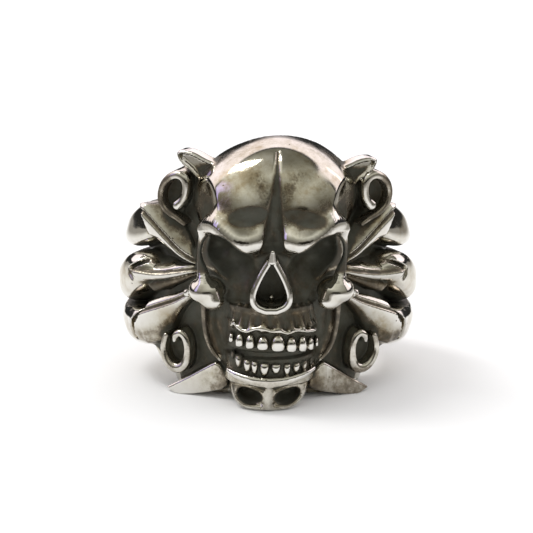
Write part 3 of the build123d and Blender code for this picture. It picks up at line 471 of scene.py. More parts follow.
def outline(u, v, corners):
    """Distance to a closed outline, below zero inside it"""
    d = np.full(np.shape(u), 1e9)
    sign = np.ones(np.shape(u))
    for n in range(len(corners)):
        x0, y0 = corners[n]
        x1, y1 = corners[n - 1]
        ex, ey = x1 - x0, y1 - y0
        wx, wy = u - x0, v - y0
        t = np.clip((wx * ex + wy * ey) / (ex * ex + ey * ey), 0, 1)
        d = np.minimum(d, (wx - ex * t) ** 2 + (wy - ey * t) ** 2)
        over, under, left = v >= y0, v < y1, ex * wy > ey * wx
        sign = np.where((over & under & left) | (~over & ~under & ~left), -sign, sign)
    return sign * np.sqrt(d)


def leaned(p):
    """The same place on a head that stands straight"""
    x, y, z = p
    shift = np.interp(z, [row[0] for row in LEAN], [row[1] for row in LEAN])
    return x - shift, y, z


def mirrored(p):
    return np.abs(p[0]), p[1], p[2]


def eye_hollow(q):
    return join(egg(q, EYES[0]), egg(q, EYES[1]), 0.8)


def cranium(q):
    """The dome of the skull, its face flatter and its rim rounder than a ball's"""
    x, y, z = q
    t = np.clip((z - 11.3) / CRANIUM_RISE, 0, 1)
    ring = np.hypot(x * (1 + 0.20 * t * t) / CRANIUM_HALF_WIDTH, (z - 11.3) / CRANIUM_RISE)
    power = CRANIUM_SQUARENESS
    depth = CRANIUM_DEPTH * (1 - FOREHEAD_SLOPE * np.clip(z - 9.0, 0, 8.5))
    near = (ring ** power + np.abs((y + 10.6) / depth) ** power) ** (1 / power)
    return (near - 1) * 0.9 * CRANIUM_RISE


def dimple(x, z, row):
    """A shallow hollow in the forehead, one at its middle: x, z, half length, half height, slant"""
    at, height, length, tall, slant = row[:5]
    u, v = x - at, z - height - slant * (x - at)
    return np.exp(-(u / length) ** 2 - (v / tall) ** 2)


def skull(p):
    """The head without its nose and jaws"""
    q = mirrored(p)
    x, y, z = q
    s = cranium(q)
    s = join(s, egg(q, EGGS[0]), 0.9)
    # flat temples
    s = join(s, egg(q, EGGS[1]), 1.0)
    s = meet(s, 0.93 * x - 0.37 * y - 11.75 - 1.6 * ease((9.4 - z) / 1.6), 0.2)
    s = join(s, egg(q, EGGS[2]), 0.8)
    # brows, the hollows over them and the furrow between them
    s = join(s, chain(q, rounded(BROW), BROW_RADIUS), 1.4)
    for row in HOLLOWS:
        s = s + row[5] * dimple(p[0], z, row) * ease((-13.0 - y) / 2.0)
    s = join(s, limb(q, *MUZZLE), 1.0)
    s = cut(s, chain(q, FURROW, FURROW_RADIUS), 0.35)
    s = join(s, chain(q, rounded(ORBIT)), 0.5)
    soft = ease((5.6 - z) / 2.0) * ease((5.4 - x) / 1.5)
    s = cut(s, eye_hollow(q), 0.25 + 1.3 * soft)
    cheek = join(egg(q, EGGS[3]), egg(q, EGGS[4]), 0.5)
    return join(s, join(cheek, chain(q, CHEEK_EDGE), 0.5), 0.4)


def nose_hole(x, z):
    """Distance to the outline of the nose opening, below zero inside it"""
    half = rounded(NOSE)
    return outline(x, z, half + [(-wide, height) for wide, height in reversed(half)])


def nose(p, s):
    """The rim of the nose, its opening and the spine in it"""
    x, y, z = p
    d = nose_hole(x, z)
    wide = 0.36 + 0.10 * ease((2.5 - z) / 2.0)
    rim = np.sqrt(((d - 0.30) * 0.42 / wide) ** 2 + (y + 17.85 - 0.05 * (z - 3)) ** 2) - NOSE_RIM
    rim = np.minimum(rim, limb(p, *NOSE_BRIDGE))
    wall = np.maximum(d - 0.55, np.maximum(-18.0 - y, y + 13.0))
    s = join(join(s, wall, 0.35), rim, 0.15)
    s = cut(s, np.maximum(d + 0.02, y + 15.2), 0.15)
    return join(s, limb(p, *NOSE_SPINE), 0.2)


def arch_y(x, half=ARCH_HALF, depth=ARCH_DEPTH):
    """How far forward the row of teeth stands at x"""
    return ARCH_BACK - depth * np.sqrt(np.maximum(1 - (x / half) ** 2, 0.02))


def from_arch(x, y, grow):
    """Distance from the outline of the row of teeth, grown by so much"""
    half, depth = ARCH_HALF + grow, ARCH_DEPTH + grow
    return (np.sqrt((x / half) ** 2 + ((y - ARCH_BACK) / depth) ** 2) - 1) * depth


def chin_line(x):
    return CHIN_Z + 0.8 * (x / 4.4) ** 2


def jaws(p, s):
    """Roots, gums, teeth, chin and sides of the jaw"""
    x, y, z = p
    q = mirrored(p)
    gum_line = spline(x, GUM_LINE, 1)
    mouth = 0.5 * ease((z + 4.6) / 0.3) * ease((-3.6 - z) / 0.3) + 0.1 * ease((z - gum_line) / 0.2)
    body = np.maximum(from_arch(x, y, -0.45) + mouth, np.maximum(z - 0.8, -7.4 - z))
    s = join(s, np.maximum(body, y + 9.5), 0.5)
    # roots over the upper teeth
    for at, half, _, _ in UPPER:
        low = (at * 0.99, arch_y(at * 0.97) + 0.45, -1.2)
        high = (at * 0.80, arch_y(at * 0.9) + 1.1, 1.0)
        s = join(s, limb(p, low, high, half * 0.75, half * 0.35), 0.45)
    # wavy gum line
    gum = np.sqrt(np.maximum(from_arch(x, y, -0.18), -0.6) ** 2 + (z - gum_line) ** 2) - GUM_RADIUS
    gum = np.maximum(gum, np.maximum(-4.0 - x, x - 4.75))
    s = join(s, np.maximum(gum, y + 13.0), 0.25)
    for at, half, top, edge in UPPER:
        middle, tall = (top + edge) / 2, (top - edge) / 2 + 0.1
        front = arch_y(at) + 0.35
        taper = 1 - 0.18 * np.clip((z - middle) / tall, -1, 1)
        size = (half * 1.12, TOOTH_THICKNESS, tall)
        tooth = block(((x - at) / taper, y - front, z - middle), size, TOOTH_SQUARENESS)
        s = join(s, meet(tooth, edge + 0.08 - z, 0.12), 0.08)
    for at, half, top, root in LOWER:
        middle, tall = (top + root) / 2, (top - root) / 2 + 0.08
        front = arch_y(at, ARCH_HALF - 0.4, ARCH_DEPTH - 0.15) + 0.35
        taper = 1 + 0.30 * np.clip((z - middle) / tall, -1, 1)
        size = (half * 1.1, 0.95 * TOOTH_THICKNESS, tall)
        tooth = block(((x - at) / taper, y - front, z - middle), size, TOOTH_SQUARENESS)
        s = join(s, meet(tooth, z - top, 0.12), 0.08)
    # crescent of the chin and the jaw under it
    bow = chin_line(x)
    half = 0.12 * np.clip(1 - (x / 4.6) ** 2, 0, 1)
    off = np.maximum(np.abs(from_arch(x, y, -0.05)) - 0.1, 0)
    share = CHIN_RADIUS * (1 - 0.35 * np.clip((x / 4.6) ** 2, 0, 1))
    band = np.sqrt(off ** 2 + np.maximum(np.abs(z - bow) * 0.85 - half, 0) ** 2) - share
    s = join(s, np.maximum(np.maximum(band, y + 13.5), np.abs(x - 0.1) - 4.6), 0.15)
    under = np.maximum(from_arch(x, y, -1.0), np.maximum(z - bow, -8.6 - z))
    s = join(s, under, 0.3)
    s = join(s, chain(q, JAW_SHEET), 0.4)
    return join(s, chain(q, rounded(JAW_EDGE), RAMUS_RADIUS), 0.25)


def small_hollow(q):
    return join(egg(q, SMALL_EYES[0]), egg(q, SMALL_EYES[1]), 0.3)


def small_skull(p, s):
    """The small skull under the chin"""
    p = (p[0] - 0.05, p[1], p[2])
    q = mirrored(p)
    bone = join(egg(q, SMALL_HEAD), chain(q, rounded(SMALL_RIM)), 0.3)
    s = join(s, bone, 0.3)
    s = cut(s, small_hollow(q), 0.2)
    return join(s, limb(p, *SMALL_NOSE), 0.35)


def polar(p):
    """Distance from the bore's axis, angle from the face, height"""
    x, y, z = p
    return np.sqrt(x * x + y * y), np.degrees(np.arctan2(np.abs(x), -y)), z


def band(p):
    """The band round the finger"""
    r, angle, z = polar(p)
    top, bottom, wall = [spline(angle, BAND, k) for k in (1, 2, 3)]
    outer = BORE_RADIUS + wall - 1.3 * ease((angle - 47) / 9) * ease((-8.2 - z) / 1.2)
    return meet(r - outer, np.maximum(z - top, bottom - z) * 0.85, 0.5)


def leaf_part(angle, z, rows, end):
    """Height over the crease, reach above and below it, radius at the crease, radius of the face,
    steepest slant and distance past the leaf's end"""
    crease, above, below, radius, over, under = [spline(angle, rows, k) for k in range(1, 7)]
    dz = z - crease
    up, down = np.clip(dz, 0, above), np.clip(-dz / below, 0, 1)
    face = radius - over * up - under * below * down ** 1.8 - LEAF_GROOVE * np.exp(-(dz / LEAF_LINE) ** 2)
    return dz, above, below, radius, face, over, (angle - spline(z, end, 1)) * DEGREE


def leaves(p, s):
    """The leaves round the finger and the folded ones in front"""
    r, angle, z = polar(p)
    for rows in SIDE:
        middle, half, radius = [spline(angle, rows, k) for k in (1, 2, 3)]
        t = np.abs(z - middle) / half
        lean = LOBE_LEAN * np.maximum(np.abs(z) - 3.2, 0) * ease((120 - angle) / 30)
        face = radius + 0.35 - lean - 0.30 * t ** 3.2 * (radius - 11.5)
        d = meet((r - face) * 0.8, (np.abs(z - middle) - half) * 0.85, 0.55)
        s = join(s, np.maximum(d, (rows[0][0] - angle) * 0.23), 0.35)
    for rows, end in zip(FRONT, FRONT_END):
        dz, above, below, radius, face, slant, along = leaf_part(angle, z, rows, end)
        low = below
        slope = np.sqrt(1 + np.where(dz > -0.1, slant, 0.4) ** 2)
        leaf = meet(np.maximum(dz - above, -dz - below) * 0.85, (r - face) / slope, 0.15)
        if rows is FRONT[1]:
            middle, half, reach = [spline(angle, UNDER, k) for k in (1, 2, 3)]
            t = np.abs(z - middle) / half
            leaf = np.minimum(leaf, meet((r - reach + 0.3 * t * t) * 0.8, (t - 1) * half * 0.85, 0.2))
            low = z - middle + half - dz
        sink = GAP_DEPTH * (ease((dz + 0.5) / 0.8) if rows is FRONT[1] else 1)
        gap = np.hypot(along - GAP_PLACE, np.maximum(radius - sink - r, 0)) - GAP_RADIUS
        s = cut(s, np.maximum(gap, np.maximum(dz - above, -dz - low) - 0.1), 0.1)
        leaf = meet(leaf, along, 0.25)
        s = join(s, np.maximum(leaf, (rows[0][0] - angle) * 0.22), 0.12)
    return s


def plate(p):
    """Place along the slanted front plate, and height over it"""
    turn = np.radians(PLATE_TURN)
    x, y = np.abs(p[0]) - PLATE_X, p[1] - PLATE_Y
    return x * np.cos(turn) + y * np.sin(turn), x * np.sin(turn) - y * np.cos(turn)


def on_plate(x, lift):
    """Where along the plate a point at x lies that stands so far off it"""
    turn = np.radians(PLATE_TURN)
    return (x - PLATE_X) / np.cos(turn) - lift * np.sin(turn)


def scroll_line(rows):
    """Middle of a scroll's wall, along the plate"""
    return [(on_plate(x, SCROLL_STAND), height) for x, height, _ in rows]


def legs(line, u, v):
    """For each leg of a line its number, the nearest place's share of it and the distance squared"""
    for n, ((u0, v0), (u1, v1)) in enumerate(zip(line[:-1], line[1:])):
        du, dv = u1 - u0, v1 - v0
        t = np.clip(((u - u0) * du + (v - v0) * dv) / (du * du + dv * dv), 0, 1)
        yield n, t, (u - u0 - t * du) ** 2 + (v - v0 - t * dv) ** 2


def scrolls(p, s):
    """The upper and the lower scroll, each with its bed"""
    u, w = plate(p)
    z = p[2]
    over = np.maximum(w - SCROLL_LIFT, 0)
    for table in (UPPER_SCROLL, LOWER_SCROLL):
        rows = rounded(table)
        bed = outline(u, z, scroll_line(table[1:10])) - 0.1
        bed = meet(bed, np.maximum(w - SCROLL_LIFT + BED_DROP, -4.0 - w), 0.3)
        s = join(s, bed, 0.3)
        wall = None
        for n, t, off in legs(scroll_line(rows), u, z):
            d = np.sqrt(off + over ** 2) - (rows[n][2] + (rows[n + 1][2] - rows[n][2]) * t)
            wall = d if wall is None else np.minimum(wall, d)
        s = join(s, np.maximum(wall, -3.0 - w), 0.15)
    return s


def horns_and_tips(p, s):
    """The bottom horn and the top leaf tip"""
    u, w = plate(p)
    z = p[2]
    face = HORN_LIFT - 0.06 * np.maximum(u - 1.0, 0) ** 2
    flat = outline(u, z, [(on_plate(x, 1.0), height) for x, height in rounded(HORN, 1)])
    s = join(s, meet(flat, np.maximum(w - face, -3.4 - w), 0.3), 0.25)
    flat = outline(u, z + TIP_RISE * p[0], [(on_plate(x, 0.3), height) for x, height in rounded(TIP, 1)])
    dish = TIP_RIM - (TIP_RIM + 0.25) * ease((-flat - 0.2) / 0.4)
    return join(s, meet(flat, np.maximum(w - dish, -1.5 - w), 0.45), 0.2)


def within(p, s, reach, form):
    """Lays a form into the field in its own stretch alone: least and most of x either way, y and z"""
    x, y, z = p
    side = np.abs(x)
    x0, x1, y0, y1, z0, z1 = reach
    at = (side > x0) & (side < x1) & (y > y0) & (y < y1) & (z > z0) & (z < z1)
    out = s.copy()
    out[at] = form((x[at], y[at], z[at]), s[at])
    return out


def sculpture(x, y, z):
    """Below zero inside the casting, the finger hole not yet cut"""
    p = (x, y, z)
    lp = leaned(p)
    s = leaves(p, band(p))
    s = within(lp, s, REACH[0], scrolls)
    s = within(lp, s, REACH[1], horns_and_tips)
    head = within(lp, skull(lp), REACH[2], nose)
    head = within(lp, head, REACH[3], jaws)
    head = within(lp, head, REACH[4], small_skull)
    return np.maximum(join(s, head, 0.3), FLOOR_Z - z)


def casting(points):
    """The casting with its finger hole, worked out in batches"""
    out = np.empty(len(points))
    for a in range(0, len(points), BATCH):
        x, y, z = points[a:a + BATCH].T
        out[a:a + BATCH] = np.maximum(sculpture(x, y, z), BORE_RADIUS - np.sqrt(x * x + y * y))
    return out


def slope(points):
    """Which way the field grows at each point"""
    steps = SLOPE_STEP * np.eye(3)
    return np.stack([casting(points + d) - casting(points - d) for d in steps], 1) / (2 * SLOPE_STEP)


def settled(points, reach, rounds):
    """The points moved along the slope of the field on to the true surface"""
    for _ in range(rounds):
        g = slope(points)
        g2 = np.maximum((g ** 2).sum(1), LEAST_SLOPE)
        points = points - g * np.clip(casting(points) / g2, -reach, reach)[:, None]
    return points


def stations(stops):
    """Grid lines from one stop to the next, each stretch with its own cell"""
    out = []
    for (a, cell), (b, _) in zip(stops[:-1], stops[1:]):
        n = max(1, int(round((b - a) / cell)))
        out += list(a + (b - a) * np.arange(n) / n)
    return np.array(out + [stops[-1][0]])


CORNERS = [(a, b, c) for a in (0, 1) for b in (0, 1) for c in (0, 1)]
EDGES = [(m, n) for m in range(8) for n in range(m + 1, 8)
         if sum(abs(CORNERS[m][e] - CORNERS[n][e]) for e in range(3)) == 1]


def at_corner(values, corner):
    """The values at one corner of every cell of the grid"""
    return values[tuple(slice(k, n - 1 + k) for k, n in zip(corner, values.shape))]


def sampled(axes):
    """Field values on the grid, worked out one by one only near the surface"""
    few = [np.append(a[:-1:COARSE], a[-1]) for a in axes]
    rough = casting(np.stack([a.ravel() for a in np.meshgrid(*few, indexing="ij")], 1))
    rough = rough.reshape([len(a) for a in few])
    reach = NEAR_CELLS * max(np.diff(a).max() for a in few)
    near = np.any([np.abs(at_corner(rough, corner)) < reach for corner in CORNERS], axis=0)
    place = [np.minimum(np.arange(len(a)) // COARSE, len(n) - 2) for a, n in zip(axes, few)]
    values = np.where(rough[:-1, :-1, :-1] < 0, -1.0, 1.0)[np.ix_(*place)]
    i, j, k = np.nonzero(near[np.ix_(*place)])
    values[i, j, k] = casting(np.stack([axes[0][i], axes[1][j], axes[2][k]], 1))
    return values


def surface(values, axes):
    """One point in each cell the surface crosses, four-sided faces between them"""
    inside = values < 0
    count = sum(at_corner(inside, corner).astype(int) for corner in CORNERS)
    cells = np.nonzero((count > 0) & (count < 8))
    index = np.full(count.shape, -1)
    index[cells] = np.arange(len(cells[0]))
    val = [values[cells[0] + a, cells[1] + b, cells[2] + c] for a, b, c in CORNERS]
    pos = [np.stack([axes[e][cells[e] + k[e]] for e in range(3)], 1) for k in CORNERS]
    total = np.zeros((len(cells[0]), 3))
    hits = np.zeros(len(cells[0]))
    for m, n in EDGES:
        cross = (val[m] < 0) != (val[n] < 0)
        t = np.where(cross, val[m] / np.where(cross, val[m] - val[n], 1), 0)
        total += np.where(cross, 1, 0)[:, None] * (pos[m] + t[:, None] * (pos[n] - pos[m]))
        hits += cross
    return total / hits[:, None], np.concatenate([faces_across(inside, index, e) for e in range(3)])


def faces_across(inside, index, e):
    """A face round every stretch of a grid line along e that the surface crosses"""
    first, second = [inside[tuple(part if k == e else slice(None) for k in range(3))]
                     for part in (slice(0, -1), slice(1, None))]
    at = np.nonzero(first != second)
    f, g = (e + 1) % 3, (e + 2) % 3
    around = []
    for back_f, back_g in ((1, 1), (0, 1), (0, 0), (1, 0)):
        cell = [a.copy() for a in at]
        cell[f] -= back_f
        cell[g] -= back_g
        around.append(index[tuple(cell)])
    quad = np.stack(around, 1)
    turn = ~first[at]
    quad[turn] = quad[turn][:, ::-1]
    return quad


def evened(axes, values):
    """The lines of an even grid, and how much of each of its crossings is metal"""
    lines = [np.arange(a[0], a[-1], CROWD_CELL) for a in axes]
    solid = np.clip(0.5 - values / CROWD_SOFT, 0, 1)
    for e in range(3):
        at = np.clip(np.searchsorted(axes[e], lines[e]) - 1, 0, len(axes[e]) - 2)
        part = (lines[e] - axes[e][at]) / (axes[e][at + 1] - axes[e][at])
        part = part.reshape([-1 if k == e else 1 for k in range(3)])
        solid = np.take(solid, at, e) * (1 - part) + np.take(solid, at + 1, e) * part
    return lines, solid


def averaged(mass, reach):
    """Each value averaged with those within reach of it, twice along each direction"""
    for e in range(3):
        n = np.arange(mass.shape[e])
        for _ in range(2):
            total = np.cumsum(np.pad(mass, [(reach + 1, reach) if k == e else (0, 0) for k in range(3)]), e)
            mass = (np.take(total, n + 2 * reach + 1, e) - np.take(total, n, e)) / (2 * reach + 1)
    return mass


def crowding(values, axes, points, radii):
    """How much metal stands within each radius of each point, beyond a flat face's half"""
    lines, solid = evened(axes, values)
    spot = [(points[:, e] - lines[e][0]) / CROWD_CELL for e in range(3)]
    low = [np.clip(np.floor(s).astype(int), 0, solid.shape[e] - 2) for e, s in enumerate(spot)]
    part = [np.clip(s - n, 0, 1) for s, n in zip(spot, low)]
    out = []
    for radius in radii:
        mass = averaged(solid, max(1, int(round(radius / CROWD_CELL / BLUR_SHARE))))
        value = 0
        for corner in CORNERS:
            weight = 1
            for e, k in enumerate(corner):
                weight = weight * (part[e] if k else 1 - part[e])
            value = value + weight * mass[tuple(n + k for n, k in zip(low, corner))]
        out.append(value - 0.5)
    return out


def put_in(name, data):
    """A new object in the scene"""
    made = bpy.data.objects.new(name, data)
    bpy.context.collection.objects.link(made)
    return made


def thinned(points, quads):
    """The same surface in fewer triangles, more of them where it bends"""
    mesh = bpy.data.meshes.new("whole")
    mesh.from_pydata(points.tolist(), [], quads.tolist())
    work = put_in("whole", mesh)
    tool = work.modifiers.new("thin", "DECIMATE")
    tool.ratio = min(1.0, TRIANGLES / (2.0 * len(quads)))
    tool.use_collapse_triangulate = True
    seen = work.evaluated_get(bpy.context.evaluated_depsgraph_get())
    small = bpy.data.meshes.new_from_object(seen)
    bpy.data.objects.remove(work)
    bpy.data.meshes.remove(mesh)
    return small


def read(mesh):
    """The places of a mesh's points"""
    flat = np.empty(len(mesh.vertices) * 3)
    mesh.vertices.foreach_get("co", flat)
    return flat.reshape(-1, 3)


def make_ring():
    """The whole casting as one mesh, with the black, the painted shade and the crowding painted on its
    points
    """
    fine, back = STEPS
    axes = (stations([(-GRID_SIDE, fine), (GRID_SIDE, fine)]),
            stations([(GRID_FRONT, fine), (GRID_MIDDLE, back), (GRID_BACK, back)]),
            stations([(FLOOR_Z - GRID_BELOW, fine), (GRID_TOP, fine)]))
    values = sampled(axes)
    points, quads = surface(values, axes)
    mesh = thinned(settled(points, 0.4 * fine, 1), quads)
    points = settled(read(mesh), 0.3 * fine, 2)
    points[:, 2] = np.maximum(points[:, 2], FLOOR_Z)
    normals = slope(points)
    normals /= np.maximum(np.linalg.norm(normals, axis=1), 1e-9)[:, None]
    tight, near, wide = crowding(values, axes, points - 0.1 * normals, CROWD_RADII)
    paint = {"tight": tight, "near": near, "wide": wide, "dark": blackened_and_shaded(points, normals)}
    # the finger keeps the hole bright
    outside = grown(np.hypot(points[:, 0], points[:, 1]), BORE_RADIUS + 0.02, 0.3)
    mesh.vertices.foreach_set("co", (points * MM).ravel())
    mesh.update()
    for name, value in paint.items():
        layer = mesh.attributes.new(name, "FLOAT", "POINT")
        layer.data.foreach_set("value", (value * outside).astype(np.float32))
    mesh.polygons.foreach_set("use_smooth", [True] * len(mesh.polygons))
    mesh.normals_split_custom_set_from_vertices(normals.tolist())
    mesh.name = "skull_ring"
    mesh.materials.clear()
    mesh.materials.append(make_silver())
    return put_in("skull_ring", mesh)


def grown(value, start, width):
    """None at the start, one the width further on, which may lie below it"""
    return ease((value - start) / width)


def blackened_and_shaded(points, normals):
    """One where the black is left whole on purpose or painted shade is laid whole, none where it depends on
    the form alone
    """
    p = leaned(tuple(points.T))
    x, y, z = p
    q = mirrored(p)
    measures = {
        "y": y, "z": z, "side": q[0], "up": normals[:, 2],
        "eye": eye_hollow(q), "small eye": small_hollow(q),
        # the brow hollows' masks, raised over their top edges, bound painted shade
        "left hollow": dimple(x, z - HOLLOW_SHADE_RISE, HOLLOWS[0]),
        "right hollow": dimple(x, z - HOLLOW_SHADE_RISE, HOLLOWS[1]),
        # the lip mask bounds painted shade on the down-facing faces under the hollows
        "lip": np.maximum(dimple(x, z, HOLLOWS[0]), 0.8 * dimple(x, z, HOLLOWS[1])),
        "furrow": chain(q, FURROW, FURROW_RADIUS),
        "nose": nose_hole(x, z), "cheek": egg(q, EGGS[3]),
        "gum": z - spline(x, GUM_LINE, 1), "arch": from_arch(x, y, 0), "chin": z - chin_line(x),
    }
    # the bridge of the nose is polished, and so are the ridges of the roots
    bridge = grown(z, 4.9, 0.4) * grown(z, 7.5, -0.3) * grown(q[0], 0.75, -0.3) * grown(y, -17.5, -0.3)
    ridge = sum(np.exp(-((x - at * (0.94 - 0.09 * z)) / 0.17) ** 2) for at, _, _, _ in UPPER)
    tones = {
        "furrow": 0.86 * (1 - bridge), "bone": 0.78 * (1 - bridge),
        "nose hole": 0.2 + 0.8 * grown(limb(p, *NOSE_SPINE), 0.1, 0.2),
        "roots": 0.78 - 0.50 * ridge * grown(z, 0.5, -1.2),
        "horn": np.where(x > 0, 0.44, 0.42 * grown(x, -8.4, 3.4)),
    }
    dark = leaves_black(tuple(points.T))
    for tone, *bounds in BLACK:
        patch = tones.get(tone, tone)
        for name, start, width in bounds:
            patch = patch * grown(measures[name], start, width)
        dark = np.maximum(dark, patch)
    for table, tone, end in SCROLL_BLACK:
        off, share = along_scroll(p, table)
        patch = SCROLL_END + (tone - SCROLL_END) * grown(share, end, -0.2)
        patch = patch * grown(off, 0.62, -0.2) * grown(share, 0.94, -0.05)
        dark = np.maximum(dark, patch * (q[0] > 8) * (y > -17) * (y < -4))
    return dark


def along_scroll(p, table):
    """Distance from the middle of a scroll's wall, and the share of its length from the outer end"""
    u, _ = plate(p)
    line = scroll_line(rounded(table))
    best, share = np.full(len(u), 1e4), np.zeros(len(u))
    for n, t, off in legs(line, u, p[2]):
        share = np.where(off < best, (n + t) / (len(line) - 1), share)
        best = np.minimum(best, off)
    return np.sqrt(best), share


def leaves_black(p):
    """The creases, the gaps at the ends, the outer leaves' far faces and the space under the middle leaf"""
    r, angle, z = polar(p)
    right = p[0] > 0
    found = []
    for rows, end in zip(FRONT, FRONT_END):
        dz, above, below, _, _, _, along = leaf_part(angle, z, rows, end)
        inside = grown(dz, above + 0.2, -0.2) * grown(dz, -below - 0.2, 0.2)
        gap = GAP_BLACK * np.exp(-((along - GAP_PLACE) / 0.30) ** 4) * inside
        face = inside * (along < 0) * (angle > LEAF_START)
        if rows is FRONT[0]:
            face = face * grown(dz, 0.45, 0.7) * np.where(right, *UPPER_BLACK)
        elif rows is FRONT[1]:
            gap, face = gap * grown(dz, -0.5, 0.8), 0 * face
        else:
            face = face * grown(-dz / below, 0.42, 0.35) * np.where(right, *LOWER_BLACK)
        crease = CREASE_BLACK * np.exp(-(dz / 0.22) ** 2) * (along < 0.1) * (angle > CREASE_START)
        found += [crease, gap, face]
    foot = spline(angle, FRONT[1], 1) - spline(angle, FRONT[1], 3)
    base = spline(angle, UNDER, 1) - spline(angle, UNDER, 2)
    under = UNDER_BLACK * grown(z, foot + 0.05, -0.2) * grown(z, base - 0.6, 0.3)
    return np.max(found + [under * grown(angle, 62, -3) * (angle > LEAF_START)], axis=0) * (r > 11.5)


class Value:
    """What one node gives out; a sum with it makes the nodes for it in the same tree"""

    def __init__(self, socket):
        self.socket, self.tree = socket, socket.id_data

    def maths(self, kind, *others):
        made = node(self.tree, "ShaderNodeMath", operation=kind)
        for socket, value in zip(made.inputs, (self, *others)):
            feed(socket, value)
        return Value(made.outputs[0])

    def __add__(self, other):
        return self.maths("ADD", other)

    def __sub__(self, other):
        return self.maths("SUBTRACT", other)

    def __rsub__(self, other):
        return self.maths("MULTIPLY_ADD", -1.0, other)

    def __mul__(self, other):
        return self.maths("MULTIPLY", other)

    def or_more(self, other):
        """The larger of the two"""
        return self.maths("MAXIMUM", other)

    def held(self):
        """The sum just made, held between none and one"""
        self.socket.node.use_clamp = True
        return self


def node(tree, kind, **values):
    """A new node with these settings"""
    made = tree.nodes.new(kind)
    for key, value in values.items():
        setattr(made, key, value)
    return made


def feed(socket, value):
    """Sets a socket to a number or a colour, or links it to what a node gives out"""
    if isinstance(value, Value):
        value.tree.links.new(value.socket, socket)
    else:
        socket.default_value = (*value, 1) if isinstance(value, tuple) else value


def place_in(tree, kind):
    """The place that is looked at, and its three parts"""
    place = Value(node(tree, "ShaderNodeTexCoord").outputs[kind])
    split = node(tree, "ShaderNodeSeparateXYZ")
    feed(split.inputs[0], place)
    return place, *[Value(socket) for socket in split.outputs]


def ramp(source, stops):
    """A colour ramp fed by the source, its stops place and colour, or place and grey"""
    made = node(source.tree, "ShaderNodeValToRGB")
    bar = made.color_ramp.elements
    for n, (place, colour) in enumerate(stops):
        stop = bar[n] if n < 2 else bar.new(place)
        stop.position = place
        stop.color = (*(colour if isinstance(colour, tuple) else (colour,) * 3), 1)
    feed(made.inputs[0], source)
    return Value(made.outputs[0])


def mixed(factor, a, b, blend="MIX"):
    """Colour a where the factor is none, b blended with it where it is one"""
    made = node(a.tree, "ShaderNodeMix", data_type="RGBA", blend_type=blend)
    for n, value in ((0, factor), (6, a), (7, b)):
        feed(made.inputs[n], value)
    return Value(made.outputs[2])


def noise(place, scale, detail=3.0, rough=0.55):
    """A cloudy pattern between none and one"""
    made = node(place.tree, "ShaderNodeTexNoise")
    for name, value in (("Vector", place), ("Scale", scale), ("Detail", detail), ("Roughness", rough)):
        feed(made.inputs[name], value)
    return Value(made.outputs[0])


def hollow_black(tight, near, wide, cloud, grain):
    """Black of small, middle and wide hollows, rubbed unevenly"""
    black = ((tight * 1.4 + near * 2.6 + wide * 1.5) * 2.2 - 0.07).held()
    rubbed = (cloud - 0.5) * 1.3 + (grain - 0.5) * 0.7
    return (black + (black * 3.0).held() * rubbed).held()


def laid_black_and_shade(place, dark, cloud):
    """Black left on purpose and painted shade, in patches where it is half rubbed off"""
    left = (dark * (cloud * 0.7 + 0.66)).held()
    patch = noise(place, PATCHES, 5.0, 0.7) - 0.5
    return (patch * (left * (1.0 - left)) * 5.0 + left).held()


def casting_pores(place):
    """Pores of the casting, here and there"""
    cells = node(place.tree, "ShaderNodeTexVoronoi")
    feed(cells.inputs["Vector"], place)
    feed(cells.inputs["Scale"], PORES)
    pore = ((0.13 - Value(cells.outputs["Distance"])) * 14.0).held()
    return pore * ((noise(place, PORE_FIELDS, 2.0) - 0.56) * 14.0).held()


def silver_colour(place, black, near):
    """From bright metal to black, under a thin yellow film left by handling, brown where it is thickest"""
    colour = ramp(black, (
        (0.00, (0.72, 0.705, 0.66)),
        (0.22, (0.58, 0.555, 0.49)),
        (0.42, (0.31, 0.275, 0.22)),
        (0.62, (0.150, 0.128, 0.098)),
        (0.80, (0.096, 0.088, 0.070)),
        (1.00, (0.083, 0.084, 0.068)),
    ))
    film = noise(place, FINE_FILM, 4.0, 0.65) * 0.40 + noise(place, WIDE_FILM) * 0.60
    film = ramp(film, (
        (0.38, (0.95, 0.945, 0.92)),
        (0.50, (0.83, 0.81, 0.74)),
        (0.62, (0.60, 0.53, 0.41)),
    ))
    return mixed((near * 6.0 + 1.0).held(), colour, film, "MULTIPLY")


def silver_skin(place, black, cloud, grain, pore):
    """Hair scratches, small dents, pores and the rough cast skin in the hollows"""
    stretch = node(place.tree, "ShaderNodeMapping")
    stretch.inputs["Scale"].default_value = (1.0, 1.0, 14.0)
    stretch.inputs["Rotation"].default_value = (0.5, 0.3, 0.8)
    feed(stretch.inputs["Vector"], place)
    hair = noise(Value(stretch.outputs[0]), HAIRS, 2.0)
    bump = node(place.tree, "ShaderNodeBump")
    feed(bump.inputs["Strength"], 0.35)
    feed(bump.inputs["Distance"], 0.00006)
    feed(bump.inputs["Height"], hair * 0.10 + cloud * 0.08 + grain * black - pore * 1.5)
    return Value(bump.outputs[0])


def new_material(name):
    """A material, its nodes and its shader's sockets"""
    material = bpy.data.materials.new(name)
    material.use_nodes = True
    return material, material.node_tree, material.node_tree.nodes["Principled BSDF"].inputs


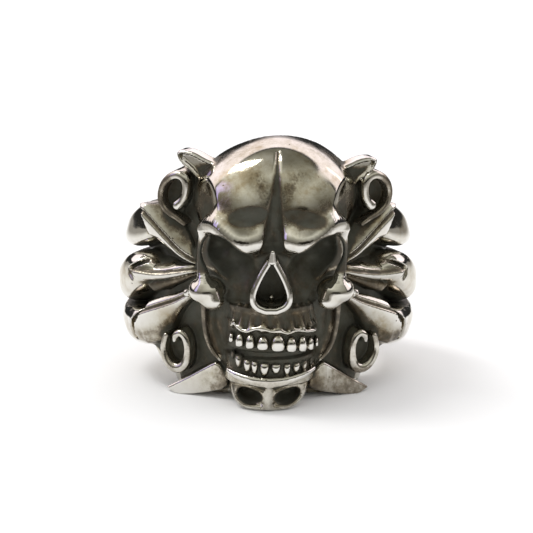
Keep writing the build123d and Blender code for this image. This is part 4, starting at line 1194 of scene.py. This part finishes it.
def make_silver():
    """Cast silver, blackened in its hollows and polished by hand and wear on all that stands up, with
    painted shade over the brow hollows and their lip
    """
    material, tree, shader = new_material("silver")
    place = place_in(tree, "Object")[0]
    tight, near, wide, dark = [Value(node(tree, "ShaderNodeAttribute", attribute_name=name).outputs["Fac"])
                               for name in ("tight", "near", "wide", "dark")]
    cloud, grain, pore = noise(place, CLOUDS, 4.0), noise(place, GRAINS), casting_pores(place)
    black = laid_black_and_shade(place, dark, cloud).or_more(hollow_black(tight, near, wide, cloud, grain))
    black = black.or_more(pore * 0.75)
    feed(shader["Base Color"], silver_colour(place, black, near))
    feed(shader["Metallic"], ramp(black, ((0.30, 1.0), (1.00, 0.35))))
    feed(shader["Roughness"], (black * 0.40 + 0.08 + (cloud - 0.5) * 0.05).held())
    feed(shader["Specular IOR Level"], 0.3)
    feed(shader["Normal"], silver_skin(place, black, cloud, grain, pore))
    return material


def make_floor():
    """A grey table with a sheet of white paper under the ring"""
    side, front, rear = TABLE
    level = FLOOR_Z * MM
    corners = [(-side, front, level), (side, front, level), (side, rear, level), (-side, rear, level)]
    mesh = bpy.data.meshes.new("floor")
    mesh.from_pydata(corners, [], [(0, 1, 2, 3)])
    material, tree, shader = new_material("paper")
    place, x, y, _ = place_in(tree, "Object")
    half, spread, start = PAPER
    aside = x.maths("ABSOLUTE") - (y.or_more(0.0) * spread + half)
    off = (aside.or_more(start - y) * 22.0).held() + (noise(place, 40.0, 2.0) - 0.5) * 0.02
    feed(shader["Base Color"], ramp(off, (
        (0.0, 0.93),
        (0.5, (0.52, 0.51, 0.49)),
        (1.0, (0.30, 0.29, 0.27)),
    )))
    feed(shader["Roughness"], 0.9)
    feed(shader["Specular IOR Level"], 0.1)
    mesh.materials.append(material)
    floor = put_in("floor", mesh)


def aimed(made, place, aim):
    """Puts an object in its place, looking at the aim"""
    made.location = place
    made.rotation_euler = (aim - made.location).to_track_quat("-Z", "Y").to_euler()


def make_lamp(name, place, width, height, power, colour, turn, on_matt):
    """A soft box that looks at the ring, turned about its own line of sight"""
    lamp = bpy.data.lights.new(name, "AREA")
    lamp.shape = "RECTANGLE"
    lamp.size, lamp.size_y = width, height
    lamp.energy = power
    lamp.color = colour
    made = put_in(name, lamp)
    aimed(made, place, Vector(LAMP_AIM))
    if turn:
        made.rotation_euler.rotate_axis("Z", math.radians(turn))
    made.visible_camera = False
    made.visible_diffuse = on_matt


def rear_of_room(height):
    """A white wall over a dark strip along the far edge of the table, under a dark ceiling"""
    return ramp(height, (
        (0.47, 0.10),
        (0.50, 0.03),
        (0.60, 0.03),
        (0.64, (1.46, 1.32, 1.36)),
        (0.885, (1.58, 1.43, 1.47)),
        (0.905, 0.05),
        (0.93, (0.22, 0.21, 0.17)),
    ))


def front_of_room(x, z, height):
    """A dim grey room, with the dark shape of the camera and its stand in it"""
    room = ramp(height, (
        (0.45, (0.10, 0.095, 0.08)),
        (0.53, (0.15, 0.14, 0.115)),
        (0.63, (0.24, 0.23, 0.195)),
        (0.75, (0.44, 0.43, 0.37)),
        (0.86, (0.74, 0.73, 0.64)),
        (0.93, (0.46, 0.45, 0.385)),
        (0.985, (0.22, 0.21, 0.17)),
    ))
    wide, tall = x * 1.9, z * 4.4 - 0.60
    away = (wide * wide + tall * tall) * 0.5
    stand = ramp(away, ((0.30, (0.12, 0.11, 0.10)), (0.60, 1.0)))
    return mixed(1.0, room, stand, "MULTIPLY")


def make_room():
    """The room round the ring, which its silver mirrors; light on matt things is even and white"""
    world = bpy.data.worlds.new("room")
    bpy.context.scene.world = world
    world.use_nodes = True
    _, x, y, z = place_in(world.node_tree, "Generated")
    height = z * 0.5 + 0.5
    # the white wall comes further forward on the right
    side = ((x.or_more(0.0) * 0.25 + y) * 4.0 + 0.1).held()
    seen = mixed(side, front_of_room(x, z, height), rear_of_room(height))
    # a dark corner where it meets the front, but not up on the ceiling
    corner = ramp(side, ((0.0, 1.0), (0.12, 0.15), (0.40, 0.15), (0.60, 1.0)))
    seen = mixed(((0.86 - height) * 12.0).held(), seen, corner, "MULTIPLY")
    # a pale stretch of ceiling round the upper lamp
    pale = ramp(z * 0.86 - x * 0.5 - y * 0.1, (
        (0.80, 0.0),
        (0.94, (0.28, 0.275, 0.255)),
        (1.00, (0.46, 0.45, 0.42)),
    ))
    seen = mixed(1.0, seen, pale, "ADD")
    # shadows stay faint
    matt = Value(node(seen.tree, "ShaderNodeLightPath").outputs["Is Diffuse Ray"])
    sky = seen.tree.nodes["Background"]
    feed(sky.inputs[0], mixed(matt, seen, (1.0, 1.0, 1.0)))
    feed(sky.inputs[1], 1.0)


def make_camera():
    """The photograph's place: a long lens, a little above the ring, in front of its face"""
    aim, lift = Vector(CAMERA_AIM), math.radians(CAMERA_LIFT)
    data = bpy.data.cameras.new("camera")
    camera = put_in("camera", data)
    aimed(camera, aim + CAMERA_FAR * Vector((0, -math.cos(lift), math.sin(lift))), aim)
    data.sensor_width = SENSOR
    data.lens = SENSOR / 2 / math.tan(math.radians(HALF_FIELD))
    data.clip_start, data.clip_end = 0.01, 10.0
    bpy.context.scene.camera = camera


ring = make_ring()
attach(ring, "root")
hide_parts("ring")
make_floor()
make_room()
for lamp in LAMPS:
    make_lamp(*lamp)
make_camera()
bpy.context.scene.view_settings.view_transform = "Standard"
bpy.context.scene.view_settings.look = "None"
